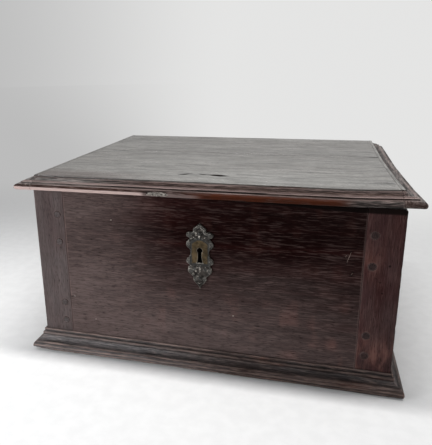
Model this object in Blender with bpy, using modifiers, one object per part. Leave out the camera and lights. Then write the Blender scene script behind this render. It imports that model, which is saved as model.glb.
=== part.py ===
"""Small oak coffer: pegged front, moulded lid on iron strap hinges, base moulding and a box lock.

Metres, +Z up. The front faces -Y, and the origin lies on the floor under the middle of the whole.
"""

import math

import bmesh
import bpy
from mathutils import Matrix, Vector

# Clearances
FIT = 0.0003
LID_GAP = 0.0005
SLIDE_GAP = 0.0005
LOCK_GAP = 0.001

# Carcase boards
BODY_WIDTH = 0.460
BODY_DEPTH = 0.360
CARCASE_HEIGHT = 0.2192
STILE_WIDTH = 0.042
STILE_THICKNESS = 0.022
STILE_ARRIS = 0.0022
FRONT_THICKNESS = 0.016
SIDE_THICKNESS = 0.014
SIDE_TONGUE_THICKNESS = 0.005
SIDE_TONGUE_LENGTH = 0.008
BACK_THICKNESS = 0.014
BACK_REBATE = 0.007
BOTTOM_THICKNESS = 0.0165
BOTTOM_JOINT = 0.165
BOTTOM_LAP = 0.010

# Tenons of the front board and the pegs that lock them
TENON_THICKNESS = 0.006
TENON_LENGTH = 0.026
TENON_MARGIN = 0.015
PEG_RADIUS = 0.0046
PEG_TAPER = 0.0004
PEG_PROUD = 0.0004
PEG_INSET = 0.0095
UPPER_PEG_DROPS = (0.0375, 0.0755)
LOWER_PEG_RISES = (0.028, 0.055)

# Lid boards, end cleats and the moulding on their edges
LID_FRONT_OVERHANG = 0.0227
LID_END_OVERHANG = 0.013
LID_JOINT = 0.196
LID_TONGUE_THICKNESS = 0.0045
LID_TONGUE_LENGTH = 0.006
LID_TONGUE_HEIGHT = 0.0065
LID_TONGUE_STOP = 0.027
CLEAT_WIDTH = 0.023
NOSING_RADIUS = 0.0034
LID_FILLET_WIDTH = 0.0033
LID_FILLET_RISE = 0.0023
LID_COVE_LIP = 0.0012
LID_COVE_WIDTH = 0.0086
LID_COVE_RISE = 0.0034
LID_TOP_FILLET = 0.0006
LID_TOP_RISE = 0.0018

# Base moulding
BASE_ROUND_WIDTH = 0.0043
BASE_ROUND_HEIGHT = 0.0106
BASE_QUIRK = 0.0009
BASE_COVE_LIP = 0.0014
BASE_COVE_WIDTH = 0.006
BASE_COVE_RISE = 0.006
BASE_FILLET_WIDTH = 0.0018
BASE_FILLET_RISE = 0.0047

# Keyhole and escutcheon, with the outline's right half given from a point above the keyhole's round
KEYHOLE_OFFSET = -0.005
KEYHOLE_DROP = 0.0719
KEYHOLE_RADIUS = 0.0036
KEYHOLE_SLOT = 0.0048
KEYHOLE_LENGTH = 0.0163
KEYHOLE_FLARE = 0.001
KEYHOLE_RELIEF = 0.0006
ESCUTCHEON_THICKNESS = 0.0016
ESCUTCHEON_STEPS = 3
ESCUTCHEON_RISE = 0.0024
ESCUTCHEON_TOP = 0.033
ESCUTCHEON_TAIL = 0.0545
ESCUTCHEON_SIDE = (
    (0.0044, 0.0294), (0.0082, 0.0262), (0.0086, 0.0224), (0.0134, 0.0220),
    (0.0170, 0.0190), (0.0162, 0.0152), (0.0130, 0.0134), (0.0150, 0.0102),
    (0.0172, 0.0062), (0.0160, 0.0014), (0.0126, -0.0012), (0.0118, -0.0066),
    (0.0134, -0.0112), (0.0168, -0.0146), (0.0165, -0.0196), (0.0132, -0.0222),
    (0.0150, -0.0256), (0.0150, -0.0312), (0.0112, -0.0354), (0.0088, -0.0378),
    (0.0084, -0.0420), (0.0056, -0.0462), (0.0024, -0.0494),
)
PIN_RISE = 0.0219
PIN_FALL = 0.0369
PIN_SHANK_RADIUS = 0.0008
PIN_LENGTH = 0.009
PIN_HEAD_RADIUS = 0.0022
PIN_HEAD_HEIGHT = 0.0011
PIN_CROWN_RADIUS = 0.0015
PIN_CROWN_HEIGHT = 0.0008

# Lock
PLATE_THICKNESS = 0.0015
PLATE_MARGIN = 0.006
CASE_WALL = 0.0015
CASE_MARGIN = 0.004
BOLT_HEIGHT = 0.010
BOLT_THICKNESS = 0.0045
BOLT_TRAVEL = 0.012
TAIL_WIDTH = 0.014
TAIL_NECK = 0.004
TALON_WIDTH = 0.006
TALON_DEPTH = 0.004
KEEPER_WIDTH = 0.005
KEEPER_BAR = 0.0016
SPRING_RISE = 0.008
SPRING_GAUGE = 0.0009
SPRING_WIDTH = 0.004
KEY_PIN_RADIUS = 0.0018
KEY_PIN_LENGTH = 0.012
KEY_PIN_CHAMFER = 0.0008
KEY_PIN_COLLAR_RADIUS = 0.004
KEY_PIN_COLLAR = 0.0012

# Staple under the lid, which the bolt passes through
STAPLE_BAR = 0.0026
STAPLE_GAUGE = 0.004
STAPLE_SWING = 0.0034
STAPLE_BACK_GAP = 0.0009
STAPLE_BOLT_GAP = 0.004
EYE_SIDE_GAP = 0.001
EYE_END_GAP = 0.002
STAPLE_PLATE_LENGTH = 0.052
STAPLE_PLATE_WIDTH = 0.016
STAPLE_PLATE_THICKNESS = 0.002

# Hinges
HINGE_INSET = 0.090
HINGE_OPENING_GAP = 0.0004
KNUCKLE_RADIUS = 0.0042
OUTER_KNUCKLE = 0.009
HINGE_PIN_RADIUS = 0.002
HINGE_PIN_HEAD_RADIUS = 0.0029
HINGE_PIN_HEAD = 0.0009
STRAP_THICKNESS = 0.0024
STRAP_WIDTH = 0.016
STRAP_LENGTH = 0.125
SPEAR_LENGTH = 0.036
SPEAR_WIDTH = 0.023
SPEAR_NECK = 0.010
SPEAR_TIP_WIDTH = 0.017
# Shares of the spear's length, counted from its tip
SPEAR_TIP = 0.25
SPEAR_SHOULDER = 0.5
SPEAR_NECK_START = 0.72
SPEAR_NECK_END = 0.8
LEAF_LENGTH = 0.055
LEAF_POINT = 0.012

# Facets of round forms
ROUND_STEPS = 8
PEG_SIDES = 12
PIN_STEPS = 12
OVERCUT = 0.004
WELD = 0.000001
SHARP_ANGLE = math.radians(30)

# Heights, planes and centres that follow from the sizes above
HALF_WIDTH = BODY_WIDTH / 2
HINGE_REACH = FIT + 2 * KNUCKLE_RADIUS
FRONT_Y = LID_FRONT_OVERHANG - (LID_FRONT_OVERHANG + BODY_DEPTH + HINGE_REACH) / 2
BACK_Y = FRONT_Y + BODY_DEPTH
CARCASE_BASE = BOTTOM_THICKNESS + FIT
CARCASE_TOP = CARCASE_BASE + CARCASE_HEIGHT
LID_Z = CARCASE_TOP + LID_GAP
LID_STEPS_RISE = 2 * NOSING_RADIUS + LID_FILLET_RISE + LID_COVE_LIP
LID_THICKNESS = LID_STEPS_RISE + LID_COVE_RISE + LID_TOP_RISE
LID_EDGE_Y = FRONT_Y - LID_FRONT_OVERHANG
LID_HALF = HALF_WIDTH + LID_END_OVERHANG
LID_JOINT_Y = FRONT_Y + LID_JOINT
CLEAT_X = LID_HALF - CLEAT_WIDTH
BASE_PROJECTION = BASE_ROUND_WIDTH + BASE_QUIRK + BASE_COVE_WIDTH + 2 * BASE_FILLET_WIDTH

KEYHOLE_X = KEYHOLE_OFFSET
KEYHOLE_Z = CARCASE_TOP - KEYHOLE_DROP
PLATE_Y = FRONT_Y + FRONT_THICKNESS + FIT
CASE_Y = PLATE_Y + PLATE_THICKNESS + FIT
STAPLE_DEPTH = BOLT_THICKNESS + 2 * EYE_SIDE_GAP + 2 * STAPLE_BAR
BOLT_Y = CASE_Y + STAPLE_SWING + STAPLE_DEPTH / 2
CASE_BACK_Y = BOLT_Y + STAPLE_DEPTH / 2 + STAPLE_BACK_GAP
TALON_TOP = KEYHOLE_Z + KEYHOLE_LENGTH + LOCK_GAP
BOLT_BOTTOM = TALON_TOP + TAIL_NECK
BOLT_TOP = BOLT_BOTTOM + BOLT_HEIGHT
CASE_TOP = BOLT_TOP + SPRING_RISE + 2 * FIT + CASE_WALL
CASE_BOTTOM = KEYHOLE_Z - KEYHOLE_LENGTH - CASE_MARGIN - CASE_WALL
RIGHT_KEEPER_X = KEYHOLE_X + TAIL_WIDTH / 2 + BOLT_TRAVEL + LOCK_GAP
LEFT_KEEPER_X = KEYHOLE_X - TAIL_WIDTH / 2 - LOCK_GAP - KEEPER_WIDTH
BOLT_TIP = RIGHT_KEEPER_X + KEEPER_WIDTH + LOCK_GAP
BOLT_REAR = LEFT_KEEPER_X - LOCK_GAP - BOLT_TRAVEL
STAPLE_X = BOLT_TIP + STAPLE_BOLT_GAP + STAPLE_GAUGE / 2
CASE_LEFT = BOLT_REAR - CASE_MARGIN - CASE_WALL
CASE_RIGHT = BOLT_TIP + BOLT_TRAVEL + CASE_MARGIN + CASE_WALL

HINGE_OFFSET = HALF_WIDTH - HINGE_INSET
HINGE_Y = BACK_Y + FIT + KNUCKLE_RADIUS
HINGE_Z = LID_Z + STRAP_THICKNESS - KNUCKLE_RADIUS
HINGE_AXIS = Vector((0, HINGE_Y, HINGE_Z))

# Turns that draw a flat outline along X (outline in Y, Z), along Y (in X, Z) or along Z (in X, Y)
ALONG_X = (math.pi / 2, 0, math.pi / 2)
ALONG_Y = (math.pi / 2, 0, 0)
ALONG_Z = (0, 0, 0)

# Finishes: colour, roughness, metallic
FRONT_OAK = ((0.060, 0.021, 0.014), 0.42, 0.0)
STILE_OAK = ((0.052, 0.019, 0.014), 0.42, 0.0)
LID_OAK = ((0.070, 0.032, 0.022), 0.36, 0.0)
MOULDED_OAK = ((0.050, 0.020, 0.013), 0.40, 0.0)
PLAIN_OAK = ((0.085, 0.042, 0.024), 0.60, 0.0)
PEG_OAK = ((0.030, 0.013, 0.010), 0.50, 0.0)
OLD_BRASS = ((0.210, 0.150, 0.075), 0.45, 0.9)
BLACK_IRON = ((0.055, 0.048, 0.043), 0.55, 0.85)


def clear_scene():
    for item in list(bpy.data.objects):
        bpy.data.objects.remove(item, do_unlink=True)


def new_collection(name):
    group = bpy.data.collections.new(name)
    bpy.context.scene.collection.children.link(group)
    return group


clear_scene()
COFFER = new_collection("coffer")
CUTTERS = new_collection("cutters")


def finish_piece(piece, finish):
    """Gives a piece its own material and puts it with the parts, or with the cutters if it has none."""
    if finish is None:
        piece.hide_render = True
        piece.display_type = "WIRE"
        CUTTERS.objects.link(piece)
        return
    colour, roughness, metallic = finish
    material = bpy.data.materials.new(piece.name)
    material.use_nodes = True
    shader = material.node_tree.nodes["Principled BSDF"]
    shader.inputs["Base Color"].default_value = (*colour, 1.0)
    shader.inputs["Roughness"].default_value = roughness
    shader.inputs["Metallic"].default_value = metallic
    piece.data.materials.append(material)
    COFFER.objects.link(piece)


def mesh_piece(name, solid, finish, location, rotation=ALONG_Z):
    mesh = bpy.data.meshes.new(name)
    bmesh.ops.recalc_face_normals(solid, faces=solid.faces)
    solid.to_mesh(mesh)
    solid.free()
    piece = bpy.data.objects.new(name, mesh)
    piece.location = location
    piece.rotation_euler = rotation
    finish_piece(piece, finish)
    return piece


def block(name, low, high, finish=None):
    """A squared piece between two corners."""
    low = Vector(low)
    high = Vector(high)
    solid = bmesh.new()
    bmesh.ops.create_cube(solid, size=1.0)
    bmesh.ops.scale(solid, vec=high - low, verts=solid.verts)
    return mesh_piece(name, solid, finish, (low + high) / 2)


def rod(name, radius, far_radius, length, centre, rotation, sides, finish=None):
    """A round bar whose far end may be slimmer."""
    solid = bmesh.new()
    bmesh.ops.create_cone(
        solid, cap_ends=True, segments=sides, radius1=far_radius, radius2=radius, depth=length
    )
    return mesh_piece(name, solid, finish, centre, rotation)


def outline_curve(name, depth):
    curve = bpy.data.curves.new(name, "CURVE")
    curve.dimensions = "2D"
    curve.fill_mode = "BOTH"
    curve.extrude = depth / 2
    return curve


def add_polygon(curve, outline):
    spline = curve.splines.new("POLY")
    spline.points.add(len(outline) - 1)
    for point, (across, up) in zip(spline.points, outline):
        point.co = (across, up, 0, 1)
    spline.use_cyclic_u = True


def curve_piece(curve, finish, location, rotation):
    """Turns a filled outline into a closed mesh piece."""
    drawn = bpy.data.objects.new(curve.name, curve)
    bpy.context.scene.collection.objects.link(drawn)
    evaluated = drawn.evaluated_get(bpy.context.evaluated_depsgraph_get())
    mesh = bpy.data.meshes.new_from_object(evaluated)
    solid = bmesh.new()
    solid.from_mesh(mesh)
    bmesh.ops.remove_doubles(solid, verts=solid.verts, dist=WELD)
    name = curve.name
    bpy.data.objects.remove(drawn)
    bpy.data.curves.remove(curve)
    bpy.data.meshes.remove(mesh)
    return mesh_piece(name, solid, finish, location, rotation)


def prism(name, outlines, start, end, rotation, finish=None):
    """A flat outline, with any holes in it, drawn out from start to end along one axis."""
    curve = outline_curve(name, end - start)
    for outline in outlines:
        add_polygon(curve, outline)
    middle = (start + end) / 2
    places = {ALONG_X: (middle, 0, 0), ALONG_Y: (0, middle, 0), ALONG_Z: (0, 0, middle)}
    return curve_piece(curve, finish, places[rotation], rotation)


def turned(name, profile, location, rotation, finish):
    """A turned piece: its profile runs from the top of the axis down its outer side to the foot."""
    mesh = bpy.data.meshes.new(name)
    points = [(radius, 0, height) for radius, height in profile]
    mesh.from_pydata(points, [(i, i + 1) for i in range(len(points) - 1)], [])
    piece = bpy.data.objects.new(name, mesh)
    piece.location = location
    piece.rotation_euler = rotation
    finish_piece(piece, finish)
    screw = piece.modifiers.new("turning", "SCREW")
    screw.steps = PIN_STEPS
    screw.render_steps = PIN_STEPS
    screw.use_merge_vertices = True
    screw.merge_threshold = WELD
    return piece


def combine(piece, other, operation="DIFFERENCE"):
    boolean = piece.modifiers.new(other.name, "BOOLEAN")
    boolean.operation = operation
    boolean.object = other


def saw(piece, point, normal):
    """Saws off what lies beyond a plane and closes the sawn face."""
    inverse = piece.matrix_basis.inverted()
    solid = bmesh.new()
    solid.from_mesh(piece.data)
    parts = solid.verts[:] + solid.edges[:] + solid.faces[:]
    sawn = bmesh.ops.bisect_plane(
        solid, geom=parts, plane_co=inverse @ Vector(point),
        plane_no=inverse.to_3x3() @ Vector(normal), clear_outer=True
    )
    rim = [item for item in sawn["geom_cut"] if isinstance(item, bmesh.types.BMEdge)]
    bmesh.ops.contextual_create(solid, geom=rim)
    bmesh.ops.recalc_face_normals(solid, faces=solid.faces)
    solid.to_mesh(piece.data)
    solid.free()


def arc(centre, radii, start, end, steps=ROUND_STEPS):
    """Points on an ellipse quarter or half, with angles in degrees."""
    points = []
    for i in range(steps + 1):
        angle = math.radians(start + (end - start) * i / steps)
        points.append((centre[0] + radii[0] * math.cos(angle), centre[1] + radii[1] * math.sin(angle)))
    return points


def rectangle(low, high):
    return [low, (high[0], low[1]), high, (low[0], high[1])]


def grown(box, by):
    low, high = Vector(box[0]), Vector(box[1])
    margin = Vector((by, by, by))
    return low - margin, high + margin


def hinge_child(piece):
    """Hangs a lid piece on the hinge axis."""
    piece.parent = LID_AXIS
    piece.matrix_parent_inverse = Matrix.Translation(-HINGE_AXIS)


# Carcase


def tenon_boxes():
    """The upper and lower tenon, each as one box from stile to stile."""
    middle_y = FRONT_Y + FRONT_THICKNESS / 2
    reach = HALF_WIDTH - STILE_WIDTH + TENON_LENGTH
    half = TENON_THICKNESS / 2
    upper = [CARCASE_TOP - drop for drop in UPPER_PEG_DROPS]
    lower = [CARCASE_BASE + rise for rise in LOWER_PEG_RISES]
    boxes = []
    for pegs in (upper, lower):
        low = (-reach, middle_y - half, min(pegs) - TENON_MARGIN)
        high = (reach, middle_y + half, max(pegs) + TENON_MARGIN)
        boxes.append((low, high))
    return boxes


def peg_places(side):
    x = side * (HALF_WIDTH - STILE_WIDTH + PEG_INSET)
    heights = [CARCASE_TOP - drop for drop in UPPER_PEG_DROPS]
    heights += [CARCASE_BASE + rise for rise in reversed(LOWER_PEG_RISES)]
    return [(x, z) for z in heights]


def stile_outline(side):
    """Plan of a front stile, with a round outer arris and a groove at its back for the side board."""
    outer = HALF_WIDTH
    inner = HALF_WIDTH - STILE_WIDTH
    back = FRONT_Y + STILE_THICKNESS
    groove_floor = back - SIDE_TONGUE_LENGTH - FIT
    groove_out = HALF_WIDTH - (SIDE_THICKNESS - SIDE_TONGUE_THICKNESS) / 2 + FIT
    groove_in = groove_out - SIDE_TONGUE_THICKNESS - 2 * FIT
    corner = arc((outer - STILE_ARRIS, FRONT_Y + STILE_ARRIS), (STILE_ARRIS, STILE_ARRIS), -90, 0)
    outline = [(inner, FRONT_Y), *corner, (outer, back), (groove_out, back), (groove_out, groove_floor)]
    outline += [(groove_in, groove_floor), (groove_in, back), (inner, back)]
    return [(side * x, y) for x, y in outline]


def side_outline(side):
    """Plan of a side board, tongued into the stile and rebated for the back board."""
    outer = HALF_WIDTH
    inner = HALF_WIDTH - SIDE_THICKNESS
    front = FRONT_Y + STILE_THICKNESS + FIT
    tongue_out = HALF_WIDTH - (SIDE_THICKNESS - SIDE_TONGUE_THICKNESS) / 2
    tongue_in = tongue_out - SIDE_TONGUE_THICKNESS
    tongue_end = front - SIDE_TONGUE_LENGTH
    rebate = inner + BACK_REBATE
    shoulder = BACK_Y - BACK_THICKNESS - FIT
    outline = [(outer, front), (outer, BACK_Y), (rebate, BACK_Y), (rebate, shoulder), (inner, shoulder)]
    outline += [(inner, front), (tongue_in, front), (tongue_in, tongue_end)]
    outline += [(tongue_out, tongue_end), (tongue_out, front)]
    return [(side * x, y) for x, y in outline]


def keyhole_outline(relief=0.0):
    """Round head, straight slot and a slightly flared foot, about the keyhole's round centre."""
    radius = KEYHOLE_RADIUS + relief
    half = KEYHOLE_SLOT / 2 + relief
    foot = KEYHOLE_Z - KEYHOLE_LENGTH - relief
    neck = math.degrees(math.asin(half / radius))
    head = arc((KEYHOLE_X, KEYHOLE_Z), (radius, radius), -90 + neck, 270 - neck, 2 * ROUND_STEPS)
    flare = half + KEYHOLE_FLARE
    return head + [
        (KEYHOLE_X - half, foot + 2 * KEYHOLE_RADIUS), (KEYHOLE_X - flare, foot),
        (KEYHOLE_X + flare, foot), (KEYHOLE_X + half, foot + 2 * KEYHOLE_RADIUS),
    ]


def make_front():
    tenons = tenon_boxes()
    front_x = HALF_WIDTH - STILE_WIDTH - FIT
    board = block(
        "front_board", (-front_x, FRONT_Y, CARCASE_BASE),
        (front_x, FRONT_Y + FRONT_THICKNESS, CARCASE_TOP), FRONT_OAK
    )
    for label, tenon in zip(("upper", "lower"), tenons):
        combine(board, block(f"{label}_tenons", *tenon), "UNION")
    for side, label in ((-1, "left"), (1, "right")):
        stile = prism(
            f"front_{label}_stile", [stile_outline(side)], CARCASE_BASE, CARCASE_TOP, ALONG_Z, STILE_OAK
        )
        for row, tenon in zip(("upper", "lower"), tenons):
            combine(stile, block(f"{label}_{row}_mortise", *grown(tenon, FIT)))
        for number, (x, z) in enumerate(peg_places(side), start=1):
            length = STILE_THICKNESS + PEG_PROUD
            centre = Vector((x, FRONT_Y - PEG_PROUD + length / 2, z))
            rod(
                f"peg_{label}_{number}", PEG_RADIUS, PEG_RADIUS - PEG_TAPER, length, centre,
                ALONG_Y, PEG_SIDES, PEG_OAK
            )
            hole = rod(
                f"peg_hole_{label}_{number}", PEG_RADIUS + FIT, PEG_RADIUS + FIT,
                STILE_THICKNESS + 2 * OVERCUT, centre, ALONG_Y, PEG_SIDES
            )
            combine(stile, hole)
            combine(board, hole)
    keyhole = prism(
        "keyhole_cut", [keyhole_outline(KEYHOLE_RELIEF)], FRONT_Y - OVERCUT,
        FRONT_Y + FRONT_THICKNESS + OVERCUT, ALONG_Y
    )
    combine(board, keyhole)
    return board


def make_sides_and_back():
    for side, label in ((-1, "left"), (1, "right")):
        prism(f"{label}_side_board", [side_outline(side)], CARCASE_BASE, CARCASE_TOP, ALONG_Z, PLAIN_OAK)
    back_x = HALF_WIDTH - SIDE_THICKNESS + BACK_REBATE - FIT
    block(
        "back_board", (-back_x, BACK_Y - BACK_THICKNESS, CARCASE_BASE),
        (back_x, BACK_Y, CARCASE_TOP), PLAIN_OAK
    )


def make_bottom():
    """Two boards nailed up under the carcase, half lapped where they meet."""
    joint = FRONT_Y + BOTTOM_JOINT
    lap = joint + BOTTOM_LAP
    lower = BOTTOM_THICKNESS / 2 - FIT / 2
    upper = lower + FIT
    front = [(FRONT_Y, 0), (lap, 0), (lap, lower), (joint, lower), (joint, BOTTOM_THICKNESS)]
    front.append((FRONT_Y, BOTTOM_THICKNESS))
    back = [(joint + FIT, upper), (lap + FIT, upper), (lap + FIT, 0), (BACK_Y, 0)]
    back += [(BACK_Y, BOTTOM_THICKNESS), (joint + FIT, BOTTOM_THICKNESS)]
    prism("bottom_front_board", [front], -HALF_WIDTH, HALF_WIDTH, ALONG_X, PLAIN_OAK)
    prism("bottom_back_board", [back], -HALF_WIDTH, HALF_WIDTH, ALONG_X, PLAIN_OAK)


# Base moulding


def base_profile():
    """Section of the base moulding as (out from the body, up from the floor)."""
    round_in = BASE_PROJECTION - BASE_ROUND_WIDTH
    cove_out = round_in - BASE_QUIRK
    cove_in = cove_out - BASE_COVE_WIDTH
    round_middle = BASE_ROUND_HEIGHT / 2
    cove_foot = BASE_ROUND_HEIGHT + BASE_COVE_LIP
    cove_top = cove_foot + BASE_COVE_RISE
    points = [(0, 0)]
    points += arc((round_in, round_middle), (BASE_ROUND_WIDTH, round_middle), -90, 90)
    points.append((cove_out, BASE_ROUND_HEIGHT))
    points += arc((cove_out, cove_top), (BASE_COVE_WIDTH, BASE_COVE_RISE), 270, 180, ROUND_STEPS // 2)
    first = cove_top + BASE_FILLET_RISE
    top = first + BASE_FILLET_RISE
    points += [(cove_in, first), (cove_in - BASE_FILLET_WIDTH, first)]
    points += [(cove_in - BASE_FILLET_WIDTH, top), (0, top)]
    return points


def make_base():
    profile = base_profile()
    reach = HALF_WIDTH + BASE_PROJECTION + OVERCUT
    front = prism(
        "base_front_moulding", [[(FRONT_Y - FIT - out, up) for out, up in profile]],
        -reach, reach, ALONG_X, MOULDED_OAK
    )
    for side, label in ((-1, "left"), (1, "right")):
        corner = (side * (HALF_WIDTH + FIT), FRONT_Y - FIT, 0)
        saw(front, (corner[0] - side * FIT, corner[1], 0), (side, 1, 0))
        run = prism(
            f"base_{label}_moulding", [[(side * (HALF_WIDTH + FIT + out), up) for out, up in profile]],
            FRONT_Y - BASE_PROJECTION - OVERCUT, BACK_Y, ALONG_Y, MOULDED_OAK
        )
        saw(run, corner, (-side, -1, 0))


# Lid


def lid_profile():
    """Section of the lid's moulded edge as (in from the edge, up from the underside)."""
    first = NOSING_RADIUS + LID_FILLET_WIDTH
    second = first + LID_FILLET_WIDTH
    nosing_top = 2 * NOSING_RADIUS
    step = nosing_top + LID_FILLET_RISE
    cove_top = LID_STEPS_RISE + LID_COVE_RISE
    points = arc((NOSING_RADIUS, NOSING_RADIUS), (NOSING_RADIUS, NOSING_RADIUS), 270, 90)
    points += [(first, nosing_top), (first, step), (second, step)]
    points += arc((second, cove_top), (LID_COVE_WIDTH, LID_COVE_RISE), -90, 0, ROUND_STEPS // 2)
    edge = second + LID_COVE_WIDTH + LID_TOP_FILLET
    points += [(edge, cove_top), (edge, LID_THICKNESS)]
    return points


def lid_board(name, outline, tongue_start, tongue_end):
    """A lid board between the cleats, with a tongue into each of them."""
    end = CLEAT_X - FIT
    board = prism(name, [outline], -end, end, ALONG_X, LID_OAK)
    reach = end + LID_TONGUE_LENGTH
    middle = LID_Z + LID_TONGUE_HEIGHT
    half = LID_TONGUE_THICKNESS / 2
    tongue = block(
        f"{name}_tongues", (-reach, tongue_start, middle - half), (reach, tongue_end, middle + half)
    )
    combine(board, tongue, "UNION")
    hinge_child(board)
    return board


def make_lid():
    tongue_low = LID_Z + LID_TONGUE_HEIGHT - LID_TONGUE_THICKNESS / 2
    tongue_high = tongue_low + LID_TONGUE_THICKNESS
    top = LID_Z + LID_THICKNESS
    tongue_start = LID_EDGE_Y + LID_TONGUE_STOP
    tongue_end = BACK_Y - LID_TONGUE_LENGTH

    groove_floor = LID_JOINT_Y - LID_TONGUE_LENGTH - FIT
    edge = [(LID_EDGE_Y + inset, LID_Z + up) for inset, up in lid_profile()]
    groove = [(LID_JOINT_Y, top), (LID_JOINT_Y, tongue_high + FIT), (groove_floor, tongue_high + FIT)]
    groove += [(groove_floor, tongue_low - FIT), (LID_JOINT_Y, tongue_low - FIT), (LID_JOINT_Y, LID_Z)]
    lid_board("lid_front_board", edge + groove, tongue_start, LID_JOINT_Y - 2 * LID_TONGUE_LENGTH)

    joint = LID_JOINT_Y + FIT
    tongue = [(joint, LID_Z), (BACK_Y, LID_Z), (BACK_Y, top), (joint, top), (joint, tongue_high)]
    tongue += [(joint - LID_TONGUE_LENGTH, tongue_high), (joint - LID_TONGUE_LENGTH, tongue_low)]
    tongue.append((joint, tongue_low))
    back = lid_board("lid_back_board", tongue, LID_JOINT_Y + LID_TONGUE_LENGTH, tongue_end)

    end_face = prism(
        "lid_front_return", [[
            (BACK_Y + OVERCUT, LID_Z - OVERCUT), (LID_EDGE_Y + NOSING_RADIUS, LID_Z - OVERCUT), *edge,
            (edge[-1][0], top + OVERCUT), (BACK_Y + OVERCUT, top + OVERCUT),
        ]], -LID_HALF - OVERCUT, LID_HALF + OVERCUT, ALONG_X
    )
    for side, label in ((-1, "left"), (1, "right")):
        section = [(side * (LID_HALF - inset), LID_Z + up) for inset, up in lid_profile()]
        section += [(side * CLEAT_X, top), (side * CLEAT_X, LID_Z)]
        cleat = prism(f"lid_{label}_cleat", [section], LID_EDGE_Y - OVERCUT, BACK_Y, ALONG_Y, LID_OAK)
        combine(cleat, end_face, "INTERSECT")
        groove_x = sorted((side * (CLEAT_X - OVERCUT), side * (CLEAT_X + LID_TONGUE_LENGTH + FIT)))
        groove_cut = block(
            f"{label}_cleat_groove", (groove_x[0], tongue_start - FIT, tongue_low - FIT),
            (groove_x[1], tongue_end + FIT, tongue_high + FIT)
        )
        combine(cleat, groove_cut)
        hinge_child(cleat)
    return back


# Hinges


def strap_outline(x, margin=0.0):
    """Plan of a hinge strap, from its knuckle to the spear at its tip."""
    tip = HINGE_Y - STRAP_LENGTH
    half = STRAP_WIDTH / 2 + margin
    neck = SPEAR_NECK / 2 + margin
    spear = SPEAR_WIDTH / 2 + margin
    point = SPEAR_TIP_WIDTH / 2 + margin
    side = [
        (half, HINGE_Y), (half, tip + SPEAR_LENGTH), (neck, tip + SPEAR_LENGTH * SPEAR_NECK_END),
        (neck, tip + SPEAR_LENGTH * SPEAR_NECK_START), (spear, tip + SPEAR_LENGTH * SPEAR_SHOULDER),
        (point, tip + SPEAR_LENGTH * SPEAR_TIP),
    ]
    mirrored = [(-across, y) for across, y in reversed(side)]
    return [(x + across, y) for across, y in side + [(0, tip - margin)] + mirrored]


def leaf_outline(x):
    """Elevation of a hinge leaf: a pointed plate, notched at the top for the strap's knuckle."""
    inner = STRAP_WIDTH / 2 + FIT
    outer = inner + OUTER_KNUCKLE
    notch = HINGE_Z - KNUCKLE_RADIUS - HINGE_OPENING_GAP
    foot = HINGE_Z - LEAF_LENGTH
    side = [(inner, notch), (inner, HINGE_Z), (outer, HINGE_Z), (outer, foot + LEAF_POINT)]
    mirrored = [(-across, z) for across, z in reversed(side)]
    return [(x + across, z) for across, z in side + [(0, foot)] + mirrored]


def knuckle(name, x, length):
    return rod(
        name, KNUCKLE_RADIUS, KNUCKLE_RADIUS, length, (x, HINGE_Y, HINGE_Z), ALONG_X, 2 * ROUND_STEPS
    )


def make_hinge(label, x, lid_back):
    bore_radius = HINGE_PIN_RADIUS + FIT
    reach = STRAP_WIDTH / 2 + FIT + OUTER_KNUCKLE
    bore = rod(
        f"{label}_bore", bore_radius, bore_radius, 2 * (reach + OVERCUT), (x, HINGE_Y, HINGE_Z),
        ALONG_X, PIN_STEPS
    )
    strap = prism(
        f"hinge_{label}_strap", [strap_outline(x)], LID_Z, LID_Z + STRAP_THICKNESS, ALONG_Z, BLACK_IRON
    )
    combine(strap, knuckle(f"{label}_strap_knuckle", x, STRAP_WIDTH - FIT), "UNION")
    combine(strap, bore)
    hinge_child(strap)
    recess = prism(
        f"{label}_strap_recess", [strap_outline(x, FIT)], LID_Z - OVERCUT,
        LID_Z + STRAP_THICKNESS + FIT, ALONG_Z
    )
    combine(lid_back, recess)

    leaf = prism(
        f"hinge_{label}_leaf", [leaf_outline(x)], BACK_Y + FIT, BACK_Y + FIT + STRAP_THICKNESS,
        ALONG_Y, BLACK_IRON
    )
    for side in (-1, 1):
        place = x + side * (reach - OUTER_KNUCKLE / 2)
        combine(leaf, knuckle(f"{label}_leaf_knuckle_{side}", place, OUTER_KNUCKLE - FIT), "UNION")
    combine(leaf, bore)

    half = reach + FIT
    turned(
        f"hinge_{label}_pin", [
            (0, half + HINGE_PIN_HEAD), (HINGE_PIN_HEAD_RADIUS, half + HINGE_PIN_HEAD / 2),
            (HINGE_PIN_HEAD_RADIUS, half), (HINGE_PIN_RADIUS, half), (HINGE_PIN_RADIUS, -half),
            (HINGE_PIN_HEAD_RADIUS, -half), (HINGE_PIN_HEAD_RADIUS, -half - HINGE_PIN_HEAD / 2),
            (0, -half - HINGE_PIN_HEAD),
        ], (x, HINGE_Y, HINGE_Z), ALONG_X, BLACK_IRON
    )


# Escutcheon and its pins


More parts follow.
